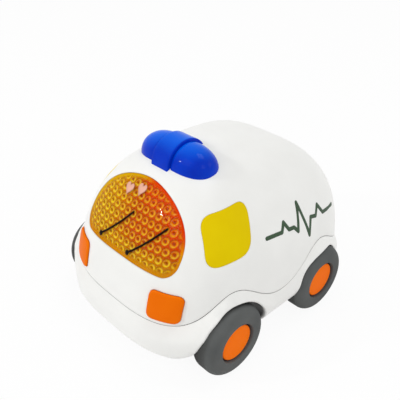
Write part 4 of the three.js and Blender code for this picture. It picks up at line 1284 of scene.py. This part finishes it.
# Each lamp is its name, its place, its size and its power
LAMPS = (("key", (-0.1, -0.62, 0.62), 0.4, 0.45), ("side", (0.75, -0.1, 0.55), 0.3, 0.6),
         ("top", (0.1, 0.2, 0.8), 0.3, 1.0), ("spark", (-0.342, -0.621, 0.477), 0.06, 1.6),
         ("rear", (0.6, 0.5, 0.45), 0.3, 0.45))
CAMERA_PLACE = (0.1418, -0.1419, 0.1710)
CAMERA_WAY = Vector((-0.60925, 0.58566, -0.53462))
CAMERA_LENS = 50.68
CAMERA_SENSOR = 36.0
CAMERA_NEAR = 0.01


def aim(holder, place, way):
    """Puts a lamp or a camera in its place and points it some way."""
    holder.location = place
    holder.rotation_euler = way.to_track_quat("-Z", "Y").to_euler()


def seen_rays(tree):
    """1 for the rays that show the background: straight ones, mirrored ones and ones through glass."""
    path = add_node(tree, "LightPath", {}).outputs
    found = path["Is Camera Ray"]
    for other in ("Is Glossy Ray", "Is Transmission Ray"):
        most = add_node(tree, "Math", {0: found, 1: path[other]})
        most.operation = "MAXIMUM"
        found = most.outputs["Value"]
    return found


def show_by(tree, share, usual, shown, output):
    """Lets a share of rays meet another shader than the usual one."""
    mix = add_node(tree, "MixShader", {"Fac": share, 1: usual.outputs[0], 2: shown.outputs[0]})
    set_inputs(tree, tree.nodes[output], {"Surface": mix.outputs["Shader"]})


def white_world():
    """A white background that lights the object less than it shows."""
    world = bpy.data.worlds.new("studio")
    bpy.context.scene.world = world
    world.use_nodes = True
    tree = world.node_tree
    light = tree.nodes["Background"]
    set_inputs(tree, light, {"Color": PURE_WHITE, "Strength": WORLD_LIGHT})
    plain = add_node(tree, "Background", {"Color": PURE_WHITE, "Strength": WORLD_SEEN})
    show_by(tree, seen_rays(tree), light, plain, "World Output")


def paper_floor():
    """A pale floor that shows little more than the contact shadows."""
    mesh = bpy.data.meshes.new("floor")
    corners = [(x * FLOOR_REACH, y * FLOOR_REACH, 0) for x, y in ((-1, -1), (1, -1), (1, 1), (-1, 1))]
    mesh.from_pydata(corners, [], [(0, 1, 2, 3)])
    floor = add_object("floor", mesh)
    paper = bpy.data.materials.new("paper")
    paper.use_nodes = True
    tree = paper.node_tree
    matt = tree.nodes["Principled BSDF"]
    set_inputs(tree, matt, {"Base Color": PAPER_SHADE, "Roughness": PAPER_ROUGHNESS})
    glow = add_node(tree, "Emission", {})
    part = add_node(tree, "Math", {0: seen_rays(tree), 1: PAPER_GLOW_SHARE})
    part.operation = "MULTIPLY"
    show_by(tree, part.outputs["Value"], matt, glow, "Material Output")
    mesh.materials.append(paper)


def lamps_and_camera():
    for name, place, size, power in LAMPS:
        light = bpy.data.lights.new(name, "AREA")
        light.size = size
        light.energy = power
        aim(add_object(name, light), place, LAMP_AIM - Vector(place))
    camera = bpy.data.cameras.new("camera")
    camera.lens = CAMERA_LENS
    camera.sensor_width = CAMERA_SENSOR
    camera.clip_start = CAMERA_NEAR
    holder = add_object("camera", camera)
    aim(holder, CAMERA_PLACE, CAMERA_WAY)
    bpy.context.scene.camera = holder
    bpy.context.scene.view_settings.view_transform = "Standard"


upper_shell()
lower_shell()
windscreen()
light_bar()
panels()
wheels()
prints()
dress_insides()
white_world()
paper_floor()
lamps_and_camera()
